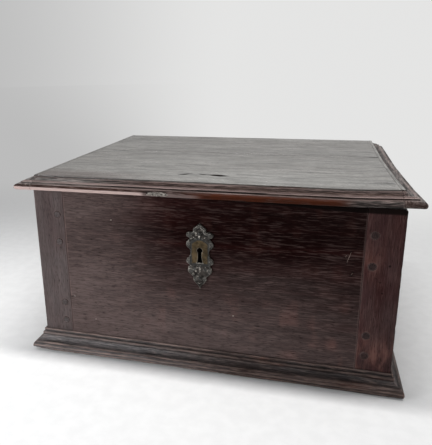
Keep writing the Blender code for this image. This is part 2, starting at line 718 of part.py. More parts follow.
def make_escutcheon(front_board):
    half = [(0, ESCUTCHEON_TOP), *ESCUTCHEON_SIDE, (0, -ESCUTCHEON_TAIL)]
    outline = half + [(-x, z) for x, z in reversed(half[1:-1])]
    curve = outline_curve("escutcheon", ESCUTCHEON_THICKNESS)
    curve.resolution_u = ESCUTCHEON_STEPS
    spline = curve.splines.new("BEZIER")
    spline.bezier_points.add(len(outline) - 1)
    for point, (x, z) in zip(spline.bezier_points, outline):
        point.co = (KEYHOLE_X + x, KEYHOLE_Z + ESCUTCHEON_RISE + z, 0)
        handle = "VECTOR" if x == 0 else "AUTO"
        point.handle_left_type = handle
        point.handle_right_type = handle
    spline.use_cyclic_u = True
    add_polygon(curve, keyhole_outline())
    middle = FRONT_Y - FIT - ESCUTCHEON_THICKNESS / 2
    plate = curve_piece(curve, OLD_BRASS, (0, middle, 0), ALONG_Y)

    face = FRONT_Y - 2 * FIT - ESCUTCHEON_THICKNESS
    for label, z in (("top", KEYHOLE_Z + PIN_RISE), ("bottom", KEYHOLE_Z - PIN_FALL)):
        turned(
            f"escutcheon_pin_{label}", [
                (0, PIN_HEAD_HEIGHT), (PIN_CROWN_RADIUS, PIN_CROWN_HEIGHT), (PIN_HEAD_RADIUS, 0),
                (PIN_SHANK_RADIUS, 0), (PIN_SHANK_RADIUS, PIN_SHANK_RADIUS - PIN_LENGTH),
                (0, -PIN_LENGTH),
            ], (KEYHOLE_X, face, z), ALONG_Y, OLD_BRASS
        )
        reach = PIN_LENGTH + 2 * FIT
        hole = rod(
            f"{label}_pin_hole", PIN_SHANK_RADIUS + FIT, PIN_SHANK_RADIUS + FIT, reach + OVERCUT,
            (KEYHOLE_X, face + (reach - OVERCUT) / 2, z), ALONG_Y, PIN_STEPS
        )
        combine(plate, hole)
        combine(front_board, hole)


# Lock


def make_lock_box():
    plate = rectangle(
        (CASE_LEFT - PLATE_MARGIN, CASE_BOTTOM - PLATE_MARGIN), (CASE_RIGHT + PLATE_MARGIN, CASE_TOP)
    )
    prism(
        "lock_plate", [plate, keyhole_outline(KEYHOLE_RELIEF)], PLATE_Y, PLATE_Y + PLATE_THICKNESS,
        ALONG_Y, BLACK_IRON
    )
    case = block(
        "lock_case", (CASE_LEFT, CASE_Y, CASE_BOTTOM),
        (CASE_RIGHT, CASE_BACK_Y + CASE_WALL, CASE_TOP), BLACK_IRON
    )
    hollow = block(
        "case_hollow", (CASE_LEFT + CASE_WALL, CASE_Y - OVERCUT, CASE_BOTTOM + CASE_WALL),
        (CASE_RIGHT - CASE_WALL, CASE_BACK_Y, CASE_TOP - CASE_WALL)
    )
    combine(case, hollow)
    slot_half = STAPLE_GAUGE / 2 + EYE_END_GAP
    slot = block(
        "staple_slot", (STAPLE_X - slot_half, CASE_Y - OVERCUT, CASE_TOP - 2 * CASE_WALL),
        (STAPLE_X + slot_half, CASE_BACK_Y - FIT, CASE_TOP + OVERCUT)
    )
    combine(case, slot)


def make_lock_works():
    tail = TAIL_WIDTH / 2
    talon = TALON_WIDTH / 2
    foot = TALON_TOP - TALON_DEPTH
    bar = [(BOLT_REAR, BOLT_BOTTOM), (KEYHOLE_X - tail, BOLT_BOTTOM), (KEYHOLE_X - tail, foot)]
    bar += [(KEYHOLE_X - talon, foot), (KEYHOLE_X - talon, TALON_TOP), (KEYHOLE_X + talon, TALON_TOP)]
    bar += [(KEYHOLE_X + talon, foot), (KEYHOLE_X + tail, foot), (KEYHOLE_X + tail, BOLT_BOTTOM)]
    bar += [(BOLT_TIP, BOLT_BOTTOM), (BOLT_TIP, BOLT_TOP), (BOLT_REAR, BOLT_TOP)]
    middle_z = (BOLT_BOTTOM + BOLT_TOP) / 2
    place = Vector((KEYHOLE_X, BOLT_Y, middle_z))
    half = BOLT_THICKNESS / 2
    bolt = prism("lock_bolt", [bar], BOLT_Y - half, BOLT_Y + half, ALONG_Y, BLACK_IRON)
    to_axis = bolt.matrix_basis.inverted() @ place
    bolt.data.transform(Matrix.Translation(-to_axis))
    bolt.location = place

    front = BOLT_Y - half - SLIDE_GAP
    low = BOLT_BOTTOM - SLIDE_GAP
    high = BOLT_TOP + SLIDE_GAP
    wall = CASE_BACK_Y - FIT
    keeper = [(wall, low - KEEPER_BAR), (front - KEEPER_BAR, low - KEEPER_BAR)]
    keeper += [(front - KEEPER_BAR, high + KEEPER_BAR), (wall, high + KEEPER_BAR), (wall, high)]
    keeper += [(front, high), (front, low), (wall, low)]
    for label, x in (("left", LEFT_KEEPER_X), ("right", RIGHT_KEEPER_X)):
        prism(f"lock_keeper_{label}", [keeper], x, x + KEEPER_WIDTH, ALONG_X, BLACK_IRON)

    ceiling = CASE_TOP - CASE_WALL - FIT
    belly = BOLT_TOP + FIT
    spring_left = LEFT_KEEPER_X + KEEPER_WIDTH + LOCK_GAP
    spring_right = RIGHT_KEEPER_X - LOCK_GAP
    centre = ((spring_left + spring_right) / 2, ceiling)
    rise = ceiling - belly
    span = (spring_right - spring_left) / 2
    outer = arc(centre, (span, rise), 180, 360)
    inner = arc(centre, (span - SPRING_GAUGE, rise - SPRING_GAUGE), 360, 180)
    half_spring = SPRING_WIDTH / 2
    prism(
        "lock_spring", [outer + inner], BOLT_Y - half_spring, BOLT_Y + half_spring, ALONG_Y, BLACK_IRON
    )

    turned(
        "key_pin", [
            (0, KEY_PIN_LENGTH), (KEY_PIN_RADIUS - KEY_PIN_CHAMFER, KEY_PIN_LENGTH),
            (KEY_PIN_RADIUS, KEY_PIN_LENGTH - KEY_PIN_CHAMFER), (KEY_PIN_RADIUS, KEY_PIN_COLLAR),
            (KEY_PIN_COLLAR_RADIUS, KEY_PIN_COLLAR), (KEY_PIN_COLLAR_RADIUS, 0), (0, 0),
        ], (KEYHOLE_X, CASE_BACK_Y - FIT, KEYHOLE_Z), ALONG_Y, BLACK_IRON
    )


def make_staple():
    """A pierced tongue under a pointed plate, nailed below the lid's front board."""
    eye_low = BOLT_BOTTOM - EYE_END_GAP
    eye_high = BOLT_TOP + EYE_END_GAP
    foot = eye_low - STAPLE_BAR
    half = STAPLE_DEPTH / 2
    plate_top = LID_Z - FIT
    plate_low = plate_top - STAPLE_PLATE_THICKNESS
    corner = STAPLE_BAR / 2
    tongue = arc((BOLT_Y - half + corner, foot + corner), (corner, corner), 180, 270, ROUND_STEPS // 2)
    tongue += arc((BOLT_Y + half - corner, foot + corner), (corner, corner), 270, 360, ROUND_STEPS // 2)
    root = plate_low + STAPLE_PLATE_THICKNESS / 2
    tongue += [(BOLT_Y + half, root), (BOLT_Y - half, root)]
    eye_half = half - STAPLE_BAR
    eye = rectangle((BOLT_Y - eye_half, eye_low), (BOLT_Y + eye_half, eye_high))
    bar = STAPLE_GAUGE / 2
    drop = prism("staple_tongue", [tongue, eye], STAPLE_X - bar, STAPLE_X + bar, ALONG_X)

    reach = STAPLE_PLATE_LENGTH / 2
    width = STAPLE_PLATE_WIDTH / 2
    side = [(-reach + width, -width), (reach - width, -width), (reach, 0), (reach - width, width)]
    side += [(-reach + width, width), (-reach, 0)]
    outline = [(STAPLE_X + x, BOLT_Y + y) for x, y in side]
    plate = prism("lid_staple", [outline], plate_low, plate_top, ALONG_Z, BLACK_IRON)
    combine(plate, drop, "UNION")
    hinge_child(plate)


LID_AXIS = bpy.data.objects.new("lid_hinge_axis", None)
LID_AXIS.location = HINGE_AXIS
COFFER.objects.link(LID_AXIS)

front_board = make_front()
make_sides_and_back()
make_bottom()
make_base()
lid_back_board = make_lid()
make_hinge("left", -HINGE_OFFSET, lid_back_board)
make_hinge("right", HINGE_OFFSET, lid_back_board)
make_escutcheon(front_board)
make_lock_box()
make_lock_works()
make_staple()

for piece in COFFER.objects:
    if piece.type == "MESH":
        piece.data.shade_smooth()
        piece.data.set_sharp_from_angle(angle=SHARP_ANGLE)

print("key positions (mm)")
print("  lid hinge axis", [round(value * 1000, 3) for value in HINGE_AXIS])
bolt_middle = (KEYHOLE_X, BOLT_Y, (BOLT_BOTTOM + BOLT_TOP) / 2)
print("  lock bolt", [round(value * 1000, 3) for value in bolt_middle])
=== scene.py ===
# %% [markdown]
# # A small oak coffer
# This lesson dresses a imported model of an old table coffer: a pegged oak front, a moulded lid on iron
# strap hinges, a moulding round the foot and a cast brass plate at the keyhole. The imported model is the
# frame. It fixes every size and every joint, and each piece made here rides on one of its bodies.

# %% Load the frame
import math

import bmesh
import bpy
import numpy as np
from mathutils import Matrix, Vector
from mathutils.geometry import delaunay_2d_cdt


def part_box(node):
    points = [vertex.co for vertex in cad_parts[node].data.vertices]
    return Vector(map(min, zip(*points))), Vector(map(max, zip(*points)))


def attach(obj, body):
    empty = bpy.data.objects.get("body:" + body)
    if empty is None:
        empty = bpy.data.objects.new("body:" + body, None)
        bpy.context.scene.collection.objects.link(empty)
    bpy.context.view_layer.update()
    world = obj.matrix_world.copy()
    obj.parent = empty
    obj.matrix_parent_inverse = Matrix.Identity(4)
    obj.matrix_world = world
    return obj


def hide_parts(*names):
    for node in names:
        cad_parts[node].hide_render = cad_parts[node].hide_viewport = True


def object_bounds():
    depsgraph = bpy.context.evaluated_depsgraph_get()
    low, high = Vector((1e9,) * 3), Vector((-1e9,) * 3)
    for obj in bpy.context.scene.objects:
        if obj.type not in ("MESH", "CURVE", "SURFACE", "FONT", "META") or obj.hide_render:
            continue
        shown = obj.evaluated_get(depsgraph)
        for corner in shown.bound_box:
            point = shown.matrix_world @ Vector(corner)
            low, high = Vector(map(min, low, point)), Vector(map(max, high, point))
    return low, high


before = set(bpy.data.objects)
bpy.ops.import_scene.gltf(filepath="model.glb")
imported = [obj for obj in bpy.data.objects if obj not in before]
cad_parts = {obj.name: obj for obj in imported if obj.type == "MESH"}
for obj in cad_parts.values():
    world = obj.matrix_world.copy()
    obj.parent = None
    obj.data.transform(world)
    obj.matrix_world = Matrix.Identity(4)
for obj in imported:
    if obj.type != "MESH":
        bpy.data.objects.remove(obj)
cad_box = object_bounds()

# %% [markdown]
# The planes that the pieces share are read from the frame's own boxes, so no size is written twice:
# the front's face, the body's sides and back, the heights of the carcase and the lid's edges.

# %% Planes of the coffer
stile_low, stile_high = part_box("front_right_stile")
lid_low, lid_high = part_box("lid_front_board")
cleat_low, cleat_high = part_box("lid_right_cleat")
FRONT_Y = stile_low.y
BODY_X = stile_high.x
STILE_X = stile_low.x
STILE_BACK_Y = stile_high.y
BASE_Z = stile_low.z
TOP_Z = stile_high.z
BACK_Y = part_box("back_board")[1].y
LID_EDGE_Y = lid_low.y
LID_JOINT_Y = lid_high.y
LID_Z = lid_low.z
LID_TOP = lid_high.z
LID_X = cleat_high.x
CLEAT_X = cleat_low.x
GAP = 0.0003
MM = 0.001
print("front", FRONT_Y, "body half width", BODY_X, "lid", LID_Z, LID_TOP)

# %% [markdown]
# Old boards are never flat. A smooth noise moves their surfaces by tenths of a millimetre. Blender's
# noise gives one point at a time, so this one works on whole arrays: it mixes fixed values from the
# corners of a grid, and one seed always gives the same waves.


# %% Smooth waves for worn surfaces
def ripple(points, sizes, seed):
    """Smooth noise between -1 and 1, with a wave length in metres along each axis."""
    scaled = np.asarray(points) / np.asarray(sizes) + seed * 17.31
    cell = np.floor(scaled).astype(np.int64)
    part = scaled - cell
    part = part * part * (3 - 2 * part)
    total = np.zeros(scaled.shape[:-1])
    for corner in np.ndindex(2, 2, 2):
        key = (cell + corner) @ np.array([73856093, 19349663, 83492791]) + seed * 7919
        key = (key ^ (key >> 13)) * 1274126177
        value = ((key ^ (key >> 16)) & 0xFFFF) / 32767.5 - 1
        total += value * np.prod(np.where(corner, part, 1 - part), axis=-1)
    return total


def smooth(value, low, high):
    """A soft step from 0 at low to 1 at high."""
    share = np.clip((value - low) / (high - low), 0, 1)
    return share * share * (3 - 2 * share)


print("noise sample", round(float(ripple([[0.1, 0.2, 0.3]], (0.05, 0.05, 0.05), 1)[0]), 4))

# %% [markdown]
# Boards and mouldings are all a section drawn along a line. The section's corners are eased first, as
# years of handling do, then cut into short steps so that wear has points to move. A curve object with a
# profile could do the drawing, but it gives no say over where the points lie.


# %% Sections
def eased(outline, reach):
    """Rounds the corners of a closed outline. The reach is a length, or a function of a corner."""
    corners = [Vector(point) for point in outline]
    points = []
    for i, corner in enumerate(corners):
        back = corners[i - 1] - corner
        ahead = corners[(i + 1) % len(corners)] - corner
        if back.angle(-ahead) < math.radians(20):
            points.append(corner)
            continue
        wide = reach(corner) if callable(reach) else reach
        cut = min(wide, 0.45 * back.length, 0.45 * ahead.length)
        start = corner + back.normalized() * cut
        end = corner + ahead.normalized() * cut
        for share in (0, 0.33, 0.67, 1):
            points.append(start * (1 - share) ** 2 + corner * 2 * share * (1 - share) + end * share ** 2)
    return [tuple(point) for point in points]


def spaced(outline, step):
    """Adds points to a closed outline. The step is a length, or a function of a place on it."""
    points = []
    for i, point in enumerate(outline):
        start = Vector(point)
        end = Vector(outline[(i + 1) % len(outline)])
        length = step((start + end) / 2) if callable(step) else step
        count = max(1, math.ceil((end - start).length / length))
        points += [tuple(start.lerp(end, j / count)) for j in range(count)]
    return points


def inward(outline):
    """Unit normals that point into a closed outline."""
    points = np.array(outline)
    along = np.roll(points, -1, axis=0) - np.roll(points, 1, axis=0)
    normals = np.stack([-along[:, 1], along[:, 0]], axis=1)
    ahead = np.roll(points, -1, axis=0)
    area = np.sum(points[:, 0] * ahead[:, 1] - ahead[:, 0] * points[:, 1])
    normals *= np.sign(area) / (np.linalg.norm(normals, axis=1, keepdims=True) + 1e-12)
    return normals


print("section helpers ready")

# %% [markdown]
# Each step along the line repeats the section as a ring of points. The rings stay in one array until the
# wear has moved them, because an array is moved in one sum. Then neighbouring rings are joined by quads.


# %% Rings and meshes
def run(outline, axis, start, end, step):
    """Rings of a section along an axis, and the way into the solid at each point."""
    section = np.array(outline)
    start = np.broadcast_to(start, len(section))
    end = np.broadcast_to(end, len(section))
    count = int(np.max(np.abs(end - start)) / step) + 2
    across = [i for i in range(3) if i != axis]
    rings = np.empty((count, len(section), 3))
    rings[:, :, axis] = start + (end - start) * np.linspace(0, 1, count)[:, None]
    rings[:, :, across] = section
    into = np.zeros_like(rings)
    into[:, :, across] = inward(outline)
    return rings, into


def ring_mesh(name, rings):
    """A closed mesh of rings, capped at both ends."""
    count, around = rings.shape[:2]
    index = np.arange(count * around).reshape(count, around)
    ahead = np.roll(index, -1, axis=1)
    quads = np.stack([index[:-1], ahead[:-1], ahead[1:], index[1:]], axis=-1).reshape(-1, 4)
    mesh = bpy.data.meshes.new(name)
    caps = [index[0][::-1].tolist(), index[-1].tolist()]
    mesh.from_pydata(rings.reshape(-1, 3).tolist(), [], quads.tolist() + caps)
    solid = bmesh.new()
    solid.from_mesh(mesh)
    bmesh.ops.remove_doubles(solid, verts=solid.verts, dist=1e-7)
    bmesh.ops.recalc_face_normals(solid, faces=solid.faces)
    solid.to_mesh(mesh)
    solid.free()
    return mesh


print("ring helpers ready")

# %% [markdown]
# Edges that hands and dusters rub go bright, and corners that nothing reaches fill with dirt. On the oak the
# dark in those corners is also painted shade. A finish can't tell one from the other by itself, so each
# point's bulge is measured and stored with the mesh for the finish to read.


# %% Stored values
def points_of(mesh, what="co"):
    values = np.empty(len(mesh.vertices) * 3)
    mesh.vertices.foreach_get(what, values)
    return values.reshape(-1, 3)


def store(mesh, name, values):
    mesh.attributes.new(name, "FLOAT", "POINT").data.foreach_set("value", np.asarray(values, np.float32))


def store_bulge(mesh):
    """Stores how far each point stands out of its neighbours, or lies in among them."""
    places = points_of(mesh)
    normals = points_of(mesh, "normal")
    ends = np.empty(len(mesh.edges) * 2, np.int64)
    mesh.edges.foreach_get("vertices", ends)
    first, second = ends.reshape(-1, 2).T
    along = places[second] - places[first]
    along /= np.linalg.norm(along, axis=1, keepdims=True) + 1e-12
    bulge = np.zeros(len(places))
    count = np.zeros(len(places))
    np.add.at(bulge, first, -np.sum(along * normals[first], axis=1))
    np.add.at(bulge, second, np.sum(along * normals[second], axis=1))
    np.add.at(count, ends, 1)
    bulge /= np.maximum(count, 1)
    store(mesh, "bulge", bulge)
    hollow = np.maximum(-bulge, 0)
    for _ in range(3):
        reach = 0.75 * hollow
        np.maximum.at(hollow, first, reach[second])
        np.maximum.at(hollow, second, reach[first])
    store(mesh, "hollow", hollow)


print("stored values ready")

# %% [markdown]
# A piece is a mesh with its finish, put on one of the frame's bodies in place of the nodes that it stands
# for. Cracks and chips are carved with a boolean first, which also hands the cutter's own finish to the cut.

# %% Making a piece
dressed = bpy.data.collections.new("dressed_coffer")
bpy.context.scene.collection.children.link(dressed)


def carve(made, cutter):
    cut = made.modifiers.new("carved", "BOOLEAN")
    cut.object = cutter
    cut.solver = "EXACT"
    cut.material_mode = "TRANSFER"
    shaped = made.evaluated_get(bpy.context.evaluated_depsgraph_get())
    mesh = bpy.data.meshes.new_from_object(shaped)
    made.modifiers.clear()
    made.data = mesh
    bpy.data.objects.remove(cutter)


def face_middles(mesh):
    values = np.empty(len(mesh.polygons) * 3)
    mesh.polygons.foreach_get("center", values)
    return values.reshape(-1, 3)


def patch(mesh, finish, where):
    """Gives a second finish to the uncut faces whose middles lie where the rule says."""
    numbers = np.empty(len(mesh.polygons), np.int32)
    mesh.polygons.foreach_get("material_index", numbers)
    numbers[(numbers == 0) & where(face_middles(mesh))] = len(mesh.materials)
    mesh.materials.append(finish)
    mesh.polygons.foreach_set("material_index", numbers)


def piece(name, mesh, finish, body, nodes=(), cutters=(), marks=None, patches=()):
    """Puts a mesh on a body in place of frame nodes. marks gives stored values from the points."""
    made = bpy.data.objects.new(name, mesh)
    dressed.objects.link(made)
    mesh.materials.append(finish)
    for cutter in cutters:
        carve(made, cutter)
    store_bulge(made.data)
    for label, rule in (marks or {}).items():
        store(made.data, label, rule(points_of(made.data)))
    for other, where in patches:
        patch(made.data, other, where)
    made.data.shade_smooth()
    made.data.set_sharp_from_angle(angle=math.radians(38))
    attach(made, body)
    if nodes:
        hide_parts(*nodes)
    print(name, len(made.data.vertices), "points on", body)
    return made


print("pieces go into", dressed.name)

# %% [markdown]
# Finishes are built from nodes. A few short helpers keep the node code readable: one adds any node and
# links or sets its inputs, the others cover the mixes and ramps that every finish here needs.


# %% Node helpers
def new_finish(name):
    finish = bpy.data.materials.new(name)
    finish.use_nodes = True
    return finish, finish.node_tree, finish.node_tree.nodes["Principled BSDF"]


def put(tree, socket, value):
    if isinstance(value, bpy.types.NodeSocket):
        tree.links.new(value, socket)
    else:
        socket.default_value = value


def node(tree, kind, inputs=None, **settings):
    made = tree.nodes.new("ShaderNode" + kind)
    for name, value in settings.items():
        setattr(made, name, value)
    for name, value in (inputs or {}).items():
        put(tree, made.inputs[name], value)
    return made


def sums(tree, operation, first, second):
    made = node(tree, "Math", operation=operation)
    put(tree, made.inputs[0], first)
    put(tree, made.inputs[1], second)
    return made.outputs[0]


def tint(tree, share, first, second, mode="MIX"):
    """A mix of two colours."""
    made = node(tree, "Mix", data_type="RGBA", blend_type=mode)
    put(tree, made.inputs[0], share)
    put(tree, made.inputs[6], first)
    put(tree, made.inputs[7], second)
    return made.outputs[2]


def between(tree, value, low, high, start=0.0, end=1.0):
    """Maps a value's range softly onto another."""
    limits = {"From Min": low, "From Max": high, "To Min": start, "To Max": end}
    return node(tree, "MapRange", {"Value": value, **limits}, interpolation_type="SMOOTHSTEP").outputs[0]


def stored(tree, name):
    return node(tree, "Attribute", attribute_name=name).outputs["Fac"]


def noise(tree, place, scale, detail, roughness=0.5, twist=0.0):
    """Noise at a place, with a scale per axis in waves per metre."""
    mapped = node(tree, "Mapping", {"Vector": place, "Scale": scale}).outputs[0]
    looks = {"Scale": 1.0, "Detail": detail, "Roughness": roughness, "Distortion": twist}
    return node(tree, "TexNoise", {"Vector": mapped, **looks}).outputs["Fac"]


def along_grain(grain, along, across):
    scale = [across] * 3
    scale[grain] = along
    return scale


print("node helpers ready")

# %% [markdown]
# Waxed old oak is nearly black with red in it. Long bands follow the growth rings, and fine fibres and short
# open pores run along them. A picture of wood could show that too, but nodes stay sharp at any distance and
# run on over every edge. Six noises, all stretched along the grain, are the start of every board.


# %% Grain of the oak
def oak_grain(tree, grain, runs):
    """The noises along the grain, from wide bands down to fibres and pores."""
    place = node(tree, "TexCoord").outputs["Object"]
    bands = noise(tree, place, along_grain(grain, 2.4, 42), 4, 0.55, 0.4)
    figure = noise(tree, place, along_grain(grain, 22, 60), 4, 0.6)
    streaks = noise(tree, place, along_grain(grain, runs, 130), 4, 0.6, 0.2)
    ridges = noise(tree, place, along_grain(grain, 70, 1050), 2, 0.5)
    fibres = noise(tree, place, along_grain(grain, 45, 1200), 4, 0.7)
    pores = between(tree, noise(tree, place, along_grain(grain, 110, 1700), 2), 0.6, 0.7)
    return bands, figure, streaks, ridges, fibres, pores


print("grain of the oak ready")

# %% [markdown]
# The colour is laid on in layers: first the wood, then red wear and dull haze that is partly painted sheen,
# the shading of the grain with painted shade between its ridges and painted highlights on their crests,
# the pores, rubbed edges, and last dirt and painted shade in the corners. Where wear, haze and painted light
# lie is stored with each mesh, so one recipe serves every board.

# %% Colour of the oak
PORE = (0.0022, 0.0014, 0.0012, 1)
# Near-black for dirt, also used as painted shade.
DIRT_AND_SHADE = (0.004, 0.003, 0.0028, 1)


def oak_colour(tree, noises, tones, ridge_highlights, stripes, relief, rubbing):
    """Tones: dark and warm wood, a dull tone with painted sheen, red wear, pale wear with painted highlights.
    """
    bands, figure, streaks, ridges, fibres, pores = noises
    dark, warm, haze_and_sheen, red, wear_and_highlight = tones
    colour = tint(tree, between(tree, bands, 0.36, 0.66), dark, warm)
    redden = sums(tree, "MULTIPLY", stored(tree, "red"), between(tree, figure, 0.36, 0.6))
    colour = tint(tree, redden, colour, red)
    # The haze is partly dull wax and dust, and partly painted sheen: a painted reflection of the pale floor
    # and room, and painted light at the base's left end.
    dull_and_sheen_share = sums(tree, "MULTIPLY", stored(tree, "haze_and_sheen"), between(tree, figure, 0.3, 0.66, 0.85, 1.03))
    colour = tint(tree, dull_and_sheen_share, colour, haze_and_sheen)
    fine = between(tree, fibres, 0.3, 0.68, 1 - 0.5 * relief, 1 + 0.3 * relief)
    # The ridges darken the wood between them: partly grain tone, partly painted shade.
    depth = sums(tree, "MULTIPLY", between(tree, ridges, 0.36, 0.62, 1 - relief, 1 + 0.4 * relief), fine)
    depth = sums(tree, "MULTIPLY", depth, between(tree, streaks, 0.34, 0.62, 1 - stripes, 1 + 0.5 * stripes))
    shade = node(tree, "CombineColor", {i: depth for i in range(3)}).outputs[0]
    colour = tint(tree, 1.0, colour, shade, "MULTIPLY")
    # Pale dashes on the ridge crests are painted highlights, in the pale wear tone.
    crest_highlight = between(tree, ridges, 0.50, 0.66, 0.0, ridge_highlights)
    dash_highlight = sums(tree, "MULTIPLY", crest_highlight, between(tree, figure, 0.35, 0.6, 0.4, 1.0))
    colour = tint(tree, dash_highlight, colour, wear_and_highlight)
    colour = tint(tree, sums(tree, "MULTIPLY", pores, 0.8), colour, PORE)
    edge = sums(tree, "ADD", stored(tree, "bulge"), sums(tree, "MULTIPLY", ridges, 0.12))
    rub = between(tree, edge, 0.12, 0.32, 0.0, rubbing)
    colour = tint(tree, stored(tree, "rubbed"), colour, red)
    # The stored pale wear also holds painted highlights, such as the one along the lid's nosing.
    colour = tint(tree, sums(tree, "MAXIMUM", rub, stored(tree, "wear_and_highlight")), colour, wear_and_highlight)
    # Concave corners go dark, partly as dirt and partly as painted shade. The stored grime adds painted shade
    # under the lid, across the front's upper middle and in the base's steps, and dirt in the lid's steps.
    corner = between(tree, stored(tree, "hollow"), 0.04, 0.2, 0.0, 0.85)
    dirt_and_corner_shade = sums(tree, "MAXIMUM", corner, sums(tree, "MULTIPLY", stored(tree, "grime_and_shade"), 0.8))
    return tint(tree, dirt_and_corner_shade, colour, DIRT_AND_SHADE)


print("colour of the oak ready")

# %% [markdown]
# Wax fills the grain and shines, bare wood doesn't. So the roughness follows the streaks, rises in the pores
# and on bare wood, and falls where hands have polished. The ridges, fibres and pores are also a bump, because
# they are too fine for the mesh.

# %% Oak
WHITE = (1, 1, 1, 1)


def oak(
    name, grain, tones, dull, shine, glint=WHITE, ridge_highlights=0.0, stripes=0.3, relief=0.5, rubbing=0.55, runs=6
):
    """One board's finish. The last five say how strong its marks are and how often streaks come."""
    finish, tree, shader = new_finish(name)
    noises = oak_grain(tree, grain, runs)
    colour = oak_colour(tree, noises, tones, ridge_highlights, stripes, relief, rubbing)
    put(tree, shader.inputs["Base Color"], colour)
    _, _, streaks, ridges, fibres, pores = noises
    rough = between(tree, streaks, 0.3, 0.7, dull + 0.07, dull - 0.07)
    rough = sums(tree, "ADD", rough, sums(tree, "MULTIPLY", pores, 0.15))
    rough = sums(tree, "ADD", rough, sums(tree, "MULTIPLY", stored(tree, "bare"), 0.25))
    rough = sums(tree, "SUBTRACT", rough, sums(tree, "MULTIPLY", stored(tree, "polish"), 0.16))
    put(tree, shader.inputs["Roughness"], rough)
    shader.inputs["Specular IOR Level"].default_value = shine
    shader.inputs["Specular Tint"].default_value = glint
    height = sums(tree, "ADD", sums(tree, "MULTIPLY", ridges, 0.8), sums(tree, "MULTIPLY", fibres, 0.3))
    height = sums(tree, "SUBTRACT", height, sums(tree, "MULTIPLY", pores, 0.3))
    bump = node(tree, "Bump", {"Height": height, "Strength": 0.8, "Distance": 0.0008})
    put(tree, shader.inputs["Normal"], bump.outputs[0])
    return finish


print("oak recipe ready")

# %% [markdown]
# Each board has tones of its own. The front is the darkest and the reddest, the stiles are a little paler,
# and the lid's top is greyer, because dust and light fall on it. Wood that was never waxed, inside and
# below, is browner and drier. The tones were set by comparing renders of the model with the photograph.

# %% Tones of the boards
RED_GLINT = (1, 0.62, 0.57, 1)
RED_WOOD = (0.085, 0.024, 0.013, 1)
ORANGE_WOOD = (0.052, 0.0115, 0.0036, 1)
# The pale pink is pale wear, and also the colour of the painted highlights on the grain's ridges.
PINK_WEAR_AND_HIGHLIGHT = (0.17, 0.115, 0.105, 1)
GREY_WOOD = (0.20, 0.165, 0.145, 1)
front_tones = (
    (0.008, 0.0014, 0.0014, 1), (0.022, 0.0048, 0.0043, 1), (0.122, 0.091, 0.086, 1),
    (0.165, 0.060, 0.047, 1), PINK_WEAR_AND_HIGHLIGHT,
)
stile_tones = (
    (0.024, 0.0068, 0.0072, 1), (0.046, 0.0128, 0.0130, 1), (0.118, 0.098, 0.096, 1),
    (0.20, 0.085, 0.066, 1), PINK_WEAR_AND_HIGHLIGHT,
)
lid_tones = (
    (0.050, 0.040, 0.034, 1), (0.100, 0.084, 0.073, 1), (0.20, 0.193, 0.180, 1), ORANGE_WOOD, GREY_WOOD,
)
# The edge's pale tone is pale wear, and also the painted highlight on the nosing.
edge_tones = (
    (0.022, 0.0115, 0.0095, 1), (0.042, 0.024, 0.019, 1), (0.19, 0.180, 0.172, 1),
    ORANGE_WOOD, (0.56, 0.42, 0.39, 1),
)
base_tones = (
    (0.022, 0.013, 0.0115, 1), (0.060, 0.035, 0.029, 1), (0.19, 0.178, 0.180, 1),
    RED_WOOD, (0.36, 0.26, 0.225, 1),
)
side_tones = (
    (0.018, 0.008, 0.0065, 1), (0.042, 0.020, 0.014, 1), (0.11, 0.075, 0.050, 1), RED_WOOD, PINK_WEAR_AND_HIGHLIGHT,
)
dry_tones = (
    (0.035, 0.020, 0.013, 1), (0.080, 0.048, 0.030, 1), (0.13, 0.090, 0.060, 1), RED_WOOD, GREY_WOOD,
)
peg_tones = (
    (0.014, 0.006, 0.0058, 1), (0.032, 0.0135, 0.0125, 1), (0.118, 0.098, 0.096, 1), RED_WOOD, PINK_WEAR_AND_HIGHLIGHT,
)
front_oak = oak("front_oak", 0, front_tones, 0.42, 0.025, RED_GLINT, ridge_highlights=0.30, stripes=0.08, relief=0.2)
stile_oak = oak("stile_oak", 2, stile_tones, 0.42, 0.05, RED_GLINT, ridge_highlights=0.16, stripes=0.08, relief=0.14)
lid_grain = {"stripes": 0.34, "relief": 0.3, "rubbing": 0.1, "runs": 20}
lid_oak = oak("lid_oak", 0, lid_tones, 0.33, 0.8, **lid_grain)
cleat_oak = oak("cleat_oak", 1, lid_tones, 0.35, 0.8, **lid_grain)
edge_grain = {"ridge_highlights": 0.22, "stripes": 0.5, "relief": 0.6, "rubbing": 0.1, "runs": 16}
edge_oak = oak("edge_oak", 0, edge_tones, 0.45, 0.06, **edge_grain)
edge_return_oak = oak("edge_return_oak", 1, edge_tones, 0.45, 0.06, **edge_grain)
base_grain = {"ridge_highlights": 0.25, "stripes": 0.25, "relief": 0.4}
moulding_oak = oak("moulding_oak", 0, base_tones, 0.42, 0.15, **base_grain)
return_oak = oak("return_oak", 1, base_tones, 0.42, 0.15, **base_grain)
side_oak = oak("side_oak", 1, side_tones, 0.5, 0.25, RED_GLINT, ridge_highlights=0.3)
back_oak = oak("back_oak", 0, dry_tones, 0.62, 0.25)
dry_cleat_oak = oak("dry_cleat_oak", 1, dry_tones, 0.62, 0.25)
peg_oak = oak("peg_oak", 1, peg_tones, 0.46, 0.1)
print("oak finishes made:", sum("oak" in finish.name for finish in bpy.data.materials))

# %% [markdown]
# Cracks show no wax: their walls are dark with old dirt. A chip is the opposite, pale wood where a
# splinter broke away. Both are plain finishes with a little grain, given to the cutters.


